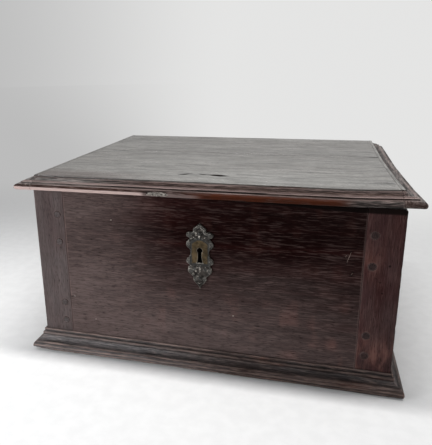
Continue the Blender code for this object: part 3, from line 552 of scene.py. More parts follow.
# %% Finishes of cracks and chips
def raw_wood(name, grain, dark, pale, along=60, across=1400):
    finish, tree, shader = new_finish(name)
    place = node(tree, "TexCoord").outputs["Object"]
    fibres = noise(tree, place, along_grain(grain, along, across), 4, 0.65)
    put(tree, shader.inputs["Base Color"], tint(tree, between(tree, fibres, 0.3, 0.7), dark, pale))
    bump = node(tree, "Bump", {"Height": fibres, "Strength": 0.8, "Distance": 0.0005})
    put(tree, shader.inputs["Normal"], bump.outputs[0])
    put(tree, shader.inputs["Roughness"], between(tree, fibres, 0.3, 0.7, 0.7, 0.9))
    shader.inputs["Specular IOR Level"].default_value = 0.1
    return finish


crack_wood = raw_wood("crack_wood", 0, (0.003, 0.002, 0.002, 1), (0.012, 0.007, 0.005, 1))
chipped_wood = raw_wood("chipped_wood", 0, (0.02, 0.016, 0.013, 1), (0.55, 0.50, 0.45, 1), 260, 520)
print("raw wood finishes made")

# %% [markdown]
# Cutters are closed meshes. A split is a thin wedge that follows the grain: wide at the surface, sharp at
# the bottom and tapering to nothing at both ends. A chip is a lumpy ball, sunk into the edge.


# %% Cutters
def as_mesh(name, solid):
    """A mesh of a finished bmesh, which is freed."""
    mesh = bpy.data.meshes.new(name)
    solid.to_mesh(mesh)
    solid.free()
    return mesh


def add_solid(whole, solid):
    """Adds one bmesh to another, and frees it."""
    part = as_mesh("part", solid)
    whole.from_mesh(part)
    bpy.data.meshes.remove(part)


def join_cutters(name, solids):
    """One cutter object of several closed meshes, each with its own finish."""
    joined = bmesh.new()
    for number, (solid, _) in enumerate(solids):
        for face in solid.faces:
            face.material_index = number
        add_solid(joined, solid)
    bmesh.ops.recalc_face_normals(joined, faces=joined.faces)
    mesh = as_mesh(name, joined)
    for _, finish in solids:
        mesh.materials.append(finish)
    cutter = bpy.data.objects.new(name, mesh)
    bpy.context.scene.collection.objects.link(cutter)
    return cutter


def split(path, width, depth, out, across, lift=0.001):
    """A wedge along a path. out leaves the surface and across lies in it, over the split."""
    solid = bmesh.new()
    rows = []
    for i, point in enumerate(path):
        share = math.sin(math.pi * (i + 0.35) / (len(path) - 0.3))
        half = across * width * 0.5 * share
        middle = Vector(point)
        foot = middle - out * depth * share
        top = middle + out * lift
        rows.append([solid.verts.new(place) for place in (top - half, top + half, foot)])
    for first, second in zip(rows, rows[1:]):
        for i in range(3):
            solid.faces.new((first[i], first[i - 1], second[i - 1], second[i]))
    solid.faces.new(rows[0])
    solid.faces.new(rows[-1][::-1])
    return solid


def wandering(start, end, count, sway, seed):
    """A path between two places that wanders a little, as a split does."""
    start = Vector(start)
    end = Vector(end)
    points = []
    for i in range(count):
        share = i / (count - 1)
        point = start.lerp(end, share)
        wave = ripple([[share * 0.1, seed * 0.1, 0.0]], (0.022, 1, 1), seed)[0]
        points.append(point + Vector(sway) * float(wave))
    return points


def lump(centre, size, seed, waves=(0.45, 0.45, 0.45), detail=3):
    """A lumpy ball for knocking a chip off an edge."""
    solid = bmesh.new()
    bmesh.ops.create_icosphere(solid, subdivisions=detail, radius=1.0)
    for vert in solid.verts:
        bump = ripple([list(vert.co)], waves, seed)[0]
        vert.co *= 1 + 0.22 * float(bump)
        vert.co = Vector(centre) + Vector(vert.co[i] * size[i] for i in range(3))
    return solid


print("cutters ready")

# %% [markdown]
# ## The front
# The front board lies between two stiles, with its grain along. Its surface is hand planed, so shallow
# hollows run along it, and the softer grain has sunk between harder ridges. A bump in the finish would only
# change the light. Moving the points of the mesh makes the edges and the outline uneven too.

# %% Front board
BOARD_Y = FRONT_Y + 16 * MM
BOARD_EASE = 0.0006
FACE_STEP = 1.5 * MM
BACK_STEP = 9 * MM


def sunk_by(places, *waves):
    """How deep waves lie in a surface. Each has a depth in millimetres, its lengths and a seed."""
    return sum(depth * MM * (1 + ripple(places, lengths, seed)) for depth, lengths, seed in waves)


def front_step(place):
    return FACE_STEP if place.x < FRONT_Y + 0.001 else BACK_STEP


def front_depth(places):
    """How deep planing and sunken grain lie in the board's face."""
    return sunk_by(places, (0.10, (0.30, 1, 0.045), 3), (0.05, (0.05, 1, 0.0034), 5))


def sunken_top(places):
    """The carcase's top edge has sunk away from the lid towards the right, and its corner is rounded."""
    drop = 5.5 * MM * np.clip((places[..., 0] + 0.04) / 0.27, 0, 1)
    drop = drop + 2.5 * MM * smooth(places[..., 0], BODY_X - 5 * MM, BODY_X) ** 2
    return drop * smooth(places[..., 2], TOP_Z - 0.022, TOP_Z)


section = [(FRONT_Y, BASE_Z), (BOARD_Y, BASE_Z), (BOARD_Y, TOP_Z), (FRONT_Y, TOP_Z)]
section = spaced(eased(section, BOARD_EASE), front_step)
board_x = STILE_X - GAP
rings, into = run(section, 0, -board_x, board_x, 1.8 * MM)
rings += into * front_depth(rings)[..., None]
rings[..., 2] -= sunken_top(rings)
print("front board:", rings.shape[0], "rings of", rings.shape[1], "points")

# %% [markdown]
# The keyhole goes right through the board. Its outline is read from the frame's lock plate and drawn out
# into a cutter, so that the hole and the lock always agree. Pale scratches cross the right of the front:
# each is a very shallow split that follows the planed surface.


# %% Keyhole and scratches
def flat_outlines(name, axis, side):
    """Outlines of the flat face that ends a frame node on one side of an axis, the longest first."""
    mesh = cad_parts[name].data
    across = [i for i in range(3) if i != axis]
    end = max(side * vertex.co[axis] for vertex in mesh.vertices)
    seen = {}
    for face in mesh.polygons:
        corners = [mesh.vertices[i].co for i in face.vertices]
        if min(side * corner[axis] for corner in corners) < end - 1e-6:
            continue
        keys = [tuple(round(corner[i], 6) for i in across) for corner in corners]
        for i, key in enumerate(keys):
            edge = (keys[i - 1], key)
            if edge[::-1] in seen:
                del seen[edge[::-1]]
            else:
                seen[edge] = True
    follow = dict(seen.keys())
    loops = []
    while follow:
        loop = [next(iter(follow))]
        while loop[-1] in follow:
            loop.append(follow.pop(loop[-1]))
        loops.append(loop[:-1])
    return sorted(loops, key=lambda loop: -max(abs(a[1] - b[1]) for a in loop for b in loop))


def prism(first, second):
    """A closed cutter between two outlines that have the same number of points."""
    solid = bmesh.new()
    front = [solid.verts.new(point) for point in first]
    back = [solid.verts.new(point) for point in second]
    solid.faces.new(front)
    solid.faces.new(back[::-1])
    for i in range(len(front)):
        solid.faces.new((front[i], front[i - 1], back[i - 1], back[i]))
    return solid


PAST = 0.003
hole = flat_outlines("lock_plate", 1, -1)[1]
keyhole = prism([(x, FRONT_Y - PAST, z) for x, z in hole], [(x, BOARD_Y + PAST, z) for x, z in hole])
cuts = [(keyhole, crack_wood)]
scratched_wood = raw_wood("scratched_wood", 2, (0.11, 0.075, 0.062, 1), (0.30, 0.23, 0.20, 1))
OUT = Vector((0, -1, 0))
# Both ends in X and Z, the number of points, and the sway and the width in millimetres.
SCRATCHES = [
    ((0.1735, 0.1780), (0.1690, 0.1610), 15, 0.5, 1.3),
    ((0.1690, 0.1735), (0.1672, 0.1690), 7, 0.3, 0.9),
    ((0.1770, 0.1520), (0.1745, 0.1470), 7, 0.3, 0.9),
]
SHALLOW = 0.06 * MM
for number, (start, end, count, sway, width) in enumerate(SCRATCHES):
    ends = [(x, FRONT_Y, z) for x, z in (start, end)]
    path = wandering(*ends, count, (sway * MM, 0, 0), 21 + number)
    depths = front_depth(np.array(path))
    path = [point - OUT * float(depth) for point, depth in zip(path, depths)]
    scratch = split(path, width * MM, SHALLOW, OUT, Vector((1, 0, 0)), SHALLOW)
    cuts.append((scratch, scratched_wood))
print("keyhole of", len(hole), "points and", len(SCRATCHES), "scratches")

# %% [markdown]
# The front is paler near the floor and at the left, partly from dull wax and partly as a painted reflection
# of the pale floor. The upper right is still dark, and shade is painted across the upper middle and close
# under the lid. Such changes are wider than the grain, so each is a rule that gives every point a strength.
# The strengths are stored with the mesh, and the oak finish reads them.


# %% Wear of the front
def front_dull_and_sheen(points):
    """Paler low down and at the left, from dull wax and painted floor reflection; still dark at the upper
    right.
    """
    x, z = points[:, 0], points[:, 2]
    low = smooth(-z, -0.195, -0.030) * (0.92 - 0.40 * smooth(x, 0.03, 0.19))
    # The darker band near the top, at the left, is painted shade under the lid.
    handled = 0.34 * smooth(-np.abs(z - 0.165), -0.05, -0.012)
    left = smooth(-x, 0.03, 0.17) * (0.95 - handled)
    drift = ripple(points, (0.07, 1, 0.03), 8)
    return np.clip(low + left * (1 - low) + 0.07 * drift, 0, 1)


def front_red(points):
    """Upright reddish flecks of the oak's figure, most of them near the foot."""
    patches = smooth(ripple(points, (0.012, 1, 0.024), 12), 0.05, 0.6)
    return patches * (0.08 + 0.92 * smooth(-points[:, 2], -0.125, -0.050))


def shade_under_lid(points):
    """Painted shade: black in the gap close under the lid."""
    sunk = 6 * MM * smooth(points[:, 0], 0.0, 0.2)
    under_lid = smooth(points[:, 2] + sunk, TOP_Z - 7.0 * MM, TOP_Z - 5.0 * MM)
    return 1.2 * under_lid * smooth(points[:, 0], -0.075, -0.02)


def front_upper_shade(points):
    """Painted shade of the lid: darker across the upper middle, and black close under the lid."""
    dark_upper_band = 0.35 * smooth(points[:, 2], 0.150, 0.200) * smooth(points[:, 0], -0.08, 0.01)
    return np.maximum(dark_upper_band, shade_under_lid(points))


def front_worn(points):
    """Pale ends where the board meets the stiles."""
    ends = smooth(np.abs(points[:, 0]), board_x - 1.2 * MM, board_x - 0.3 * MM)
    ends = ends * np.where(points[:, 0] < 0, 0.9, 0.5)
    return ends * smooth(ripple(points, (1, 1, 0.02), 14), -0.5, 0.4)


def inside(points):
    return smooth(points[:, 1], FRONT_Y + 0.006, FRONT_Y + 0.012)


front_marks = {
    "haze_and_sheen": front_dull_and_sheen, "red": front_red, "grime_and_shade": front_upper_shade, "wear_and_highlight": front_worn, "bare": inside
}
print("wear of the front:", sorted(front_marks))

# %% [markdown]
# The board's ends are tenoned into the stiles. Only a stub of each tenon is made, out of sight in the joint,
# where it keeps light from showing through. It is a box of its own beside the board. If it grew out of the
# board, the finish would take the shoulder for a corner and fill it with dirt.


# %% Finish the front board
def with_tenons(mesh, rings, length):
    """Adds a thinner tenon at each shoulder, which keeps light out of the joint."""
    solid = bmesh.new()
    solid.from_mesh(mesh)
    for ring, way in ((rings[0], -1), (rings[-1], 1)):
        low, high = ring.min(axis=0), ring.max(axis=0)
        size = (high - low) * (0, 0.4, 0.9) + (length, 0, 0)
        middle = (low + high) / 2 + (way * (length / 2 + 0.02 * MM), 0, 0)
        bmesh.ops.create_cube(solid, size=1, matrix=Matrix.LocRotScale(middle, None, size))
    solid.to_mesh(mesh)
    solid.free()
    return mesh


front_mesh = with_tenons(ring_mesh("front_board", rings), rings, 4 * MM)
piece(
    "front_board", front_mesh, front_oak, "carcase", ["front_board"],
    [join_cutters("front_cuts", cuts)], front_marks
)

# %% [markdown]
# The stiles stand upright at both ends. Each has four holes for the pegs that hold the board's tenons. The
# holes are carved a little wider than the pegs, so that a dark line rings each one. The right-hand stile also
# has bruises by its second peg, which are shallow lumps carved in the stile's own finish.

# %% Peg holes and bruises
PEG_GAP = 0.25 * MM
PEGS = range(1, 5)


def peg_round(label, number):
    """The middle and the radius of a peg in the frame."""
    low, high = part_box(f"peg_{label}_{number}")
    return (low + high) / 2, (high.x - low.x) / 2


def peg_holes(label):
    """One closed cutter with a round hole for every peg of a stile."""
    solid = bmesh.new()
    depth = STILE_BACK_Y - FRONT_Y + 0.008
    for number in PEGS:
        centre, radius = peg_round(label, number)
        wide = radius + PEG_GAP
        middle = (centre.x, (FRONT_Y + STILE_BACK_Y) / 2, centre.z)
        turn = Matrix.Translation(middle) @ Matrix.Rotation(math.pi / 2, 4, "X")
        bmesh.ops.create_cone(
            solid, cap_ends=True, segments=28, radius1=wide, radius2=wide, depth=depth, matrix=turn
        )
    return solid


def stile_dents():
    """Bruises on the right stile, by the second peg and below it."""
    spots = [(0.2085, 0.1418, 1.6), (0.2165, 0.1635, 1.1), (0.2030, 0.1465, 0.9), (0.2110, 0.1285, 1.0)]
    for number, (x, z, size) in enumerate(spots):
        yield lump((x, FRONT_Y - 0.25 * MM, z), (size * MM, 0.5 * MM, size * MM), 30 + number)


print("pegs in each stile:", len(PEGS))

# %% [markdown]
# The left stile is as pale as the end of the board beside it, from dull wax and a painted reflection of the
# pale floor. The right one is redder and still waxed. Round the pegs and along the inner edge, rubbing has
# left pale wood.


# %% Wear of the stiles
def stile_dull_and_sheen(points):
    low = smooth(-points[:, 2], -0.19, -0.08)
    # Paler at the left: dull wax and a painted reflection of the pale floor.
    left = smooth(-points[:, 0], -0.05, 0.20)
    drift = ripple(points, (0.012, 1, 0.03), 15)
    return np.clip(0.13 + 0.10 * low + 0.67 * left + 0.16 * drift, 0, 1)


def stile_red(points):
    right = smooth(points[:, 0], 0.15, 0.2)
    low = smooth(-points[:, 2], -0.080, -0.042)
    middle = smooth(-np.abs(points[:, 2] - 0.165), -0.045, -0.005) * smooth(-points[:, 0], -0.214, -0.196)
    patches = 0.5 + 0.5 * ripple(points, (0.008, 1, 0.03), 18)
    left_foot = 0.2 * smooth(-points[:, 0], 0.15, 0.2) * smooth(-points[:, 2], -0.125, -0.055)
    share = right * (0.05 + 0.75 * low + 0.30 * middle) * (0.5 + 0.7 * patches)
    return np.clip(share + left_foot + 0.04, 0, 1)


def stile_worn(points):
    """Pale rings round the pegs and a pale inner edge."""
    inner = 0.4 * smooth(-np.abs(points[:, 0]), -STILE_X - 1.2 * MM, -STILE_X - 0.3 * MM)
    pale = inner * smooth(ripple(points, (1, 1, 0.02), 19), -0.5, 0.4)
    for number in PEGS:
        centre, radius = peg_round("right", number)
        away = np.hypot(np.abs(points[:, 0]) - centre.x, points[:, 2] - centre.z)
        ring = smooth(-away, -radius - 2.0 * MM, -radius - 0.3 * MM)
        pale = np.maximum(pale, 0.4 * ring * (0.7 + 0.6 * ripple(points, (0.004, 1, 0.004), 20)))
    return np.clip(pale * (points[:, 1] < FRONT_Y + 1 * MM), 0, 1)


def stile_bare(points):
    return smooth(points[:, 1], FRONT_Y + 0.012, FRONT_Y + 0.02)


stile_marks = {
    "haze_and_sheen": stile_dull_and_sheen, "red": stile_red, "wear_and_highlight": stile_worn, "grime_and_shade": shade_under_lid, "bare": stile_bare
}
print("wear of the stiles:", sorted(stile_marks))

# %% [markdown]
# Both stiles share one section, and the left one is its mirror image. The outer corner is worn round, so it
# is an arc in the section. Planing, sunken grain and knocks along that corner are pressed in afterwards.

# %% Stiles
ARRIS = 2.2 * MM


def stile_step(place):
    return 1.5 * MM if place.y < STILE_BACK_Y - 0.002 else 4 * MM


corner = [
    (BODY_X - ARRIS + ARRIS * math.sin(turn), FRONT_Y + ARRIS - ARRIS * math.cos(turn))
    for turn in np.linspace(0, math.pi / 2, 7)
]
stile_section = [(STILE_X, FRONT_Y), *corner, (BODY_X, STILE_BACK_Y), (STILE_X, STILE_BACK_Y)]
stile_section = spaced(eased(stile_section, 0.0005), stile_step)
for label, side in (("left", -1), ("right", 1)):
    rings, into = run([(side * x, y) for x, y in stile_section], 2, BASE_Z, TOP_Z, 1.6 * MM)
    planed = (0.10, (0.03, 0.03, 0.25), 31 + side)
    grained = (0.05, (0.0034, 0.0034, 0.05), 33 + side)
    outer = smooth(np.abs(rings[..., 0]), BODY_X - 0.004, BODY_X)
    knocked = 0.5 * MM * outer * smooth(ripple(rings, (1, 1, 0.012), 35), 0.2, 0.9)
    rings += into * (sunk_by(rings, planed, grained) + knocked)[..., None]
    rings[..., 2] -= sunken_top(rings)
    holes = [(peg_holes(label), crack_wood)]
    if label == "right":
        holes += [(dent, stile_oak) for dent in stile_dents()]
    piece(
        f"front_{label}_stile", ring_mesh(f"{label}_stile", rings), stile_oak, "carcase",
        [f"front_{label}_stile"], [join_cutters(f"{label}_stile_cuts", holes)], stile_marks
    )

# %% [markdown]
# Pegs are whittled from dry oak and driven, so their heads are not quite round and show end grain. Each
# is a ring of facets with a low crown, and some have sunk a little into their holes.


# %% Pegs
def peg_rim(points):
    middle = (points.min(axis=0) + points.max(axis=0)) / 2
    away = np.hypot(points[:, 0] - middle[0], points[:, 2] - middle[2])
    return np.where(points[:, 0] < 0, 0.1, 0.4) * smooth(away / away.max(), 0.85, 0.97)


def peg_dull_and_sheen(points):
    """The left pegs are as pale as their stile, from dull wax and painted reflection; the right ones still
    dark.
    """
    return np.where(points[:, 0] < 0, 0.8, 0.12)


PEG_SIDES = 32
PEG_SUNK = (0.0, 0.5, 0.1, 0.6)
# The rings of a peg's head: a depth in millimetres, and a share of the radius.
PEG_RINGS = [(1.2, 1.0), (0.4, 1.0), (0.1, 0.93), (0.0, 0.75), (-0.1, 0.45), (-0.12, 0.15)]
for label in ("left", "right"):
    for number in PEGS:
        low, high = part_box(f"peg_{label}_{number}")
        centre, radius = peg_round(label, number)
        seed = number + (40 if label == "left" else 50)
        face_y = low.y + PEG_SUNK[(number + seed) % 4] * MM
        turns = np.arange(PEG_SIDES) / PEG_SIDES * math.tau
        flat = 1 - 0.035 * np.cos(3.5 * turns + seed) ** 2
        rings = []
        for depth, share in PEG_RINGS:
            across = radius * share * flat
            x = centre.x + across * np.cos(turns)
            z = centre.z + across * np.sin(turns)
            rings.append(np.stack([x, np.full(PEG_SIDES, face_y + depth * MM), z], axis=1))
        rings.insert(0, np.where((False, True, False), high.y, rings[0]))
        piece(
            f"peg_{label}_{number}", ring_mesh(f"peg_{label}_{number}", np.array(rings)), peg_oak, "carcase",
            [f"peg_{label}_{number}"], (), {"wear_and_highlight": peg_rim, "haze_and_sheen": peg_dull_and_sheen}
        )

# %% [markdown]
# ## Sides, back and bottom
# The boards that nobody looks at are plainer and drier. The sides run from the stiles to a rebate that
# takes the back. They are waxed outside only, so a rule tells the finish where the wood is dry.

# %% Sides
SIDE_THICKNESS = 14 * MM
REBATE = 7 * MM
back_low, back_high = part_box("back_board")
inner = BODY_X - SIDE_THICKNESS
start = STILE_BACK_Y + GAP
shoulder = back_low.y - GAP
side_section = [
    (BODY_X, start), (BODY_X, BACK_Y), (inner + REBATE, BACK_Y), (inner + REBATE, shoulder),
    (inner, shoulder), (inner, start),
]
side_section = spaced(eased(side_section, BOARD_EASE), 4 * MM)


def dry_inside(points):
    return smooth(-np.abs(points[:, 0]), -BODY_X + 0.006, -BODY_X + 0.012)


def side_haze(points):
    return 0.25 + 0.75 * dry_inside(points)


for label, side in (("left", -1), ("right", 1)):
    rings, into = run([(side * x, y) for x, y in side_section], 2, BASE_Z, TOP_Z, 1.8 * MM)
    planed = (0.12, (1, 0.30, 0.04), 61 + side)
    grained = (0.05, (1, 0.05, 0.0036), 63 + side)
    rings += into * sunk_by(rings, planed, grained)[..., None]
    rings[..., 2] -= sunken_top(rings) * smooth(-rings[..., 1], -BACK_Y, 0.1)
    piece(
        f"{label}_side_board", ring_mesh(f"{label}_side", rings), side_oak, "carcase",
        [f"{label}_side_board"], (), {"haze_and_sheen": side_haze, "bare": dry_inside}
    )

# %% [markdown]
# The back and the bottom were never waxed and keep the marks of the saw. The bottom is two boards, lapped
# along their joint, so that no gap opens when they shrink. Long and short waves give them their unevenness,
# because a finer surface would only cost points where nobody looks.


# %% Back and bottom
def all_bare(points):
    return np.ones(len(points))


def back_haze(points):
    return 0.35 + 0.3 * ripple(points, (0.12, 1, 0.05), 73)


def bottom_haze(points):
    return 0.4 + 0.3 * ripple(points, (0.1, 0.05, 1), 77)


section = [(back_low.y, BASE_Z), (BACK_Y, BASE_Z), (BACK_Y, TOP_Z), (back_low.y, TOP_Z)]
rings, into = run(spaced(eased(section, BOARD_EASE), 2 * MM), 0, back_low.x, back_high.x, 3.5 * MM)
rings += into * sunk_by(rings, (0.12, (0.25, 1, 0.03), 71), (0.06, (0.012, 1, 0.05), 72))[..., None]
piece(
    "back_board", ring_mesh("back_board", rings), back_oak, "carcase", ["back_board"], (),
    {"haze_and_sheen": back_haze, "bare": all_bare}
)
bottom_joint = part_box("bottom_front_board")[1].y
bottom_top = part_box("bottom_front_board")[1].z
lap_start = bottom_joint - 10 * MM
lap_z = bottom_top / 2
fronts = [
    (FRONT_Y, 0), (bottom_joint, 0), (bottom_joint, lap_z - GAP / 2), (lap_start, lap_z - GAP / 2),
    (lap_start, bottom_top), (FRONT_Y, bottom_top),
]
backs = [
    (lap_start + GAP, lap_z + GAP / 2), (bottom_joint + GAP, lap_z + GAP / 2), (bottom_joint + GAP, 0),
    (BACK_Y, 0), (BACK_Y, bottom_top), (lap_start + GAP, bottom_top),
]
for label, section in (("front", fronts), ("back", backs)):
    rings, into = run(spaced(eased(section, 0.0005), 3 * MM), 0, -BODY_X, BODY_X, 4 * MM)
    rings += into * sunk_by(rings, (0.10, (0.2, 0.03, 1), 75), (0.05, (0.010, 0.06, 1), 76))[..., None]
    piece(
        f"bottom_{label}_board", ring_mesh(f"bottom_{label}", rings), back_oak, "carcase",
        [f"bottom_{label}_board"], (), {"haze_and_sheen": bottom_haze, "bare": all_bare}
    )

# %% [markdown]
# ## The mouldings
# Both mouldings are a section run round three sides with mitred corners. The base has a round below, then a
# cove between fillets. Its section is drawn in millimetres, out from the body and up from the floor, with
# arcs for the round stretches, and is cut into short steps so that wear has points to move.


# %% Section of the base moulding
def arc(centre, radii, start, end, steps):
    turns = np.radians(np.linspace(start, end, steps + 1))
    return [(centre[0] + radii[0] * math.cos(turn), centre[1] + radii[1] * math.sin(turn)) for turn in turns]


base_out = (cad_box[1].x - BODY_X - GAP) / MM
base_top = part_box("base_front_moulding")[1].z / MM
ROUND_WIDTH, ROUND_HEIGHT = 4.3, 12.8
COVE_FOOT, COVE_TOP, FILLET = 13.8, 18.0, 4.7
base_section = [(0.0, 0.0)]
base_section += arc((base_out - ROUND_WIDTH, ROUND_HEIGHT / 2), (ROUND_WIDTH, ROUND_HEIGHT / 2), -90, 90, 14)
base_section += [(9.6, ROUND_HEIGHT), *arc((9.6, COVE_TOP), (6.0, COVE_TOP - COVE_FOOT), 270, 180, 9)]
base_section += [(3.6, COVE_TOP + FILLET), (1.8, COVE_TOP + FILLET), (1.8, base_top), (0.0, base_top)]
base_section = spaced(eased(base_section, 0.5), 0.5)
out = np.array([point[0] for point in base_section]) * MM
up = np.array([point[1] for point in base_section]) * MM
print("the section of the base has", len(base_section), "points")

# %% [markdown]
# The base has lost parts of its lower lip: it is broken in steps along the front and knocked off at both
# corners, most of all at the left. On the round the soft grain is worn away between ridges. All this follows
# from where a point lies, so no cutter is needed.

# %% Broken lip and worn round
LIP_BREAKS = [
    (-0.246, 6.0), (-0.240, 4.6), (-0.232, 3.2), (-0.215, 2.3), (-0.190, 2.8), (-0.085, 3.0), (0.085, 2.4),
    (0.146, 2.3), (0.150, 1.2), (0.192, 1.1), (0.197, 0.0), (0.222, 0.0), (0.232, 0.8), (0.246, 2.6),
]


def broken_lip(places):
    """How much of the lower lip is gone, along the front."""
    steps = np.interp(places[..., 0], [x for x, _ in LIP_BREAKS], [loss for _, loss in LIP_BREAKS])
    ragged = 0.35 * ripple(places, (0.004, 1, 1), 81) + 0.3 * ripple(places, (0.014, 1, 1), 82)
    return np.maximum(steps + ragged * (0.3 + 0.25 * steps), 0) * MM


def tilted(rings):
    """The upper fillets sit a little high at the left end and low at the right."""
    rings[..., 2] -= 1.5 * MM * rings[..., 0] / BODY_X * smooth(up, 12 * MM, 20 * MM)
    return rings


section_length = np.cumsum(np.hypot(np.diff(out, prepend=out[:1]), np.diff(up, prepend=up[:1])))
RIDGE_PITCH = 4.4 * MM


def base_wear(rings, into, grain, seed):
    """Soft grain worn away between ridges on the round, and nicks along the edges."""
    depth = sunk_by(rings, (0.14, along_grain(grain, 0.06, 0.004), seed))
    wander = 2.2 * ripple(rings, along_grain(grain, 0.05, 1), seed + 2)
    ridged = 0.5 + 0.5 * np.cos(math.tau * section_length / RIDGE_PITCH + wander)
    on_round = smooth(out, 3 * MM, 6 * MM) * smooth(-up, -13 * MM, -12 * MM)
    nicked = 0.5 * MM * smooth(ripple(rings, along_grain(grain, 0.02, 0.006), seed + 1), 0.45, 0.9)
    return rings + into * (depth + nicked + 0.5 * MM * ridged * on_round)[..., None]


print("most of the lip that is gone, in millimetres:", max(loss for _, loss in LIP_BREAKS))

# %% [markdown]
# The moulding is paler at its left end, which is painted light from the left, and in the cove, which is
# partly dust and partly a painted reflection of the room. Dusters have rubbed the ridges of the round and the
# edges of the fillets. Painting that by hand would take a picture for every side. These rules only ask how
# high a point lies in the section and how far it is along the front.


# %% Dust and wear of the base
def section_height(points):
    """How high a place lies in the straight section, in millimetres, with the tilt taken out."""
    return points[:, 2] / MM + 1.5 * points[:, 0] / BODY_X * smooth(points[:, 2], 12 * MM, 20 * MM)


def line(height, middle, half):
    return smooth(-np.abs(height - middle), -half, -0.4 * half)


def in_cove(points):
    height = section_height(points)
    return smooth(height, 13.2, 14.2) * smooth(-height, -18.6, -17.4)


def light_from_left(points):
    """Painted light: paler at the moulding's left end and darker at the right, as light falls from the left.
    """
    return smooth(-points[:, 0], -0.06, 0.10)


def base_dust_and_sheen(points):
    # The cove is paler, partly from dust and partly as a painted reflection of the room.
    drift = ripple(points, (0.03, 0.03, 0.006), 84)
    left = light_from_left(points)
    return np.clip(0.06 + 0.46 * left + (0.16 + 0.14 * left) * in_cove(points) + 0.10 * drift, 0, 1)


def base_red(points):
    patches = smooth(ripple(points, (0.03, 0.03, 0.008), 86), -0.1, 0.5)
    tan = smooth(-np.abs(points[:, 0] - 0.06), -0.08, -0.03) * smooth(section_height(points), 19, 21)
    return np.clip((0.35 + 0.5 * tan) * patches, 0, 1) * (1 - in_cove(points))


def base_worn(points):
    """Pale lines on the ridges of the round and along the fillets' edges, stronger at the left as painted
    light.
    """
    height = section_height(points)
    wander = 1.6 * ripple(points, (0.06, 0.06, 1), 89)
    ridges = smooth(np.cos(math.tau * height / 4.0 + wander), 0.1, 0.8) * smooth(-height, -12.8, -12.2)
    lines = 0.9 * ridges + 0.9 * line(height, 26.6, 1.3) + 0.7 * line(height, 21.6, 1.5)
    patches = smooth(ripple(points, (0.014, 0.014, 0.0022), 87), -0.7, 0.5)
    return np.clip(lines * (0.25 + 0.75 * patches) * (0.28 + 0.48 * light_from_left(points)), 0, 1)


# Painted shade: dark lines where shade falls under the fillets and in the quirk above the round.
def base_step_shade(points):
    height = section_height(points)
    dark = line(height, 23.6, 1.1) + line(height, 18.9, 1.0) + line(height, 13.3, 0.7)
    return np.clip(0.7 * dark, 0, 1)


base_marks = {"haze_and_sheen": base_dust_and_sheen, "red": base_red, "wear_and_highlight": base_worn, "grime_and_shade": base_step_shade}
print("wear of the base:", sorted(base_marks))

# %% [markdown]
# A joiner saws the corners at 45 degrees. Here each point of the section starts and ends its run where that
# mitre would cut it: the farther out it lies, the longer its run. The two returns stop at the back.

# %% Base mouldings
MITRE_GAP = 0.15 * MM
on_lip = out > 3.5 * MM
section = list(zip(FRONT_Y - GAP - out, up))
reach = BODY_X + GAP + out - MITRE_GAP
rings, into = run(section, 0, -reach, reach, 1.5 * MM)
rings = tilted(base_wear(rings, into, 0, 88))
rings[..., 2] = np.maximum(rings[..., 2], np.where(on_lip, broken_lip(rings), 0))
piece(
    "base_front_moulding", ring_mesh("base_front", rings), moulding_oak, "carcase",
    ["base_front_moulding"], (), base_marks
)
for label, side in (("left", -1), ("right", 1)):
    section = list(zip(side * (BODY_X + GAP + out), up))
    rings, into = run(section, 1, FRONT_Y - GAP - out + MITRE_GAP, BACK_Y, 1.6 * MM)
    rings = tilted(base_wear(rings, into, 1, 91 + side))
    knocked = (4.4 if side < 0 else 2.6) * MM * smooth(-rings[..., 1], -FRONT_Y - 0.012, -FRONT_Y + 0.012)
    rings[..., 2] = np.maximum(rings[..., 2], np.where(on_lip, knocked, 0))
    piece(
        f"base_{label}_moulding", ring_mesh(f"base_{label}", rings), return_oak, "carcase",
        [f"base_{label}_moulding"], (), base_marks
    )

# %% [markdown]
# ## The lid
# Two boards, tongued together, lie between cleats that cross their ends. A round nosing, two fillets and
# a cove run along the front edge and return along both ends. The section is drawn once, in from the edge and
# up from the underside, and both the front board and the cleats are made from it.

# %% Section of the lid's edge
NOSING = 3.4
HANGS = 1.0
lid_edge = [(6.5, 0.0)]
lid_edge += arc((NOSING, NOSING - HANGS / 2), (NOSING, NOSING + HANGS / 2), 270, 90, 14)
lid_edge += [(6.7, 6.8), (6.7, 9.1), (10.0, 9.1)]
lid_edge += arc((10.0, 13.7), (8.6, 3.4), -90, 0, 10)
lid_edge += [(19.2, 13.7), (19.2, 15.5)]
lid_edge = [(u * MM, v * MM) for u, v in lid_edge]


def lid_ease(corner):
    """Corners of the joint and the back are rounder than the wear is deep, so that they never fold."""
    return 0.9 * MM if corner.x > LID_EDGE_Y + 25 * MM else 0.35 * MM


def lid_step(place):
    if place.y < LID_Z + 0.2 * MM:
        return 7 * MM
    return 0.7 * MM if place.x < LID_EDGE_Y + 20 * MM else 1.7 * MM


print("the section of the lid's edge has", len(lid_edge), "points")

# %% [markdown]
# Old lids warp. The front right corner of this one stands up, its right-hand edge bows in, and the joint
# between the boards has opened there. Each piece is made straight and worn first. Then one smooth rule shifts
# every point, so that all pieces of the lid bend together.


# %% Wear and warp of the lid
def lid_wear(rings, into, seed):
    """Planing and grain, with less grain and more handling on the nosing."""
    nosing = smooth(-rings[..., 1], -LID_EDGE_Y - 8 * MM, -LID_EDGE_Y - 4 * MM)
    planed = sunk_by(rings, (0.14, (0.28, 0.034, 1), seed))
    grained = sunk_by(rings, (0.07, (0.07, 0.0042, 0.0042), seed + 1)) * (1 - 0.8 * nosing)
    handled = sunk_by(rings, (0.2, (0.03, 1, 1), seed + 2)) * nosing
    return rings + into * (planed + grained + handled)[..., None]


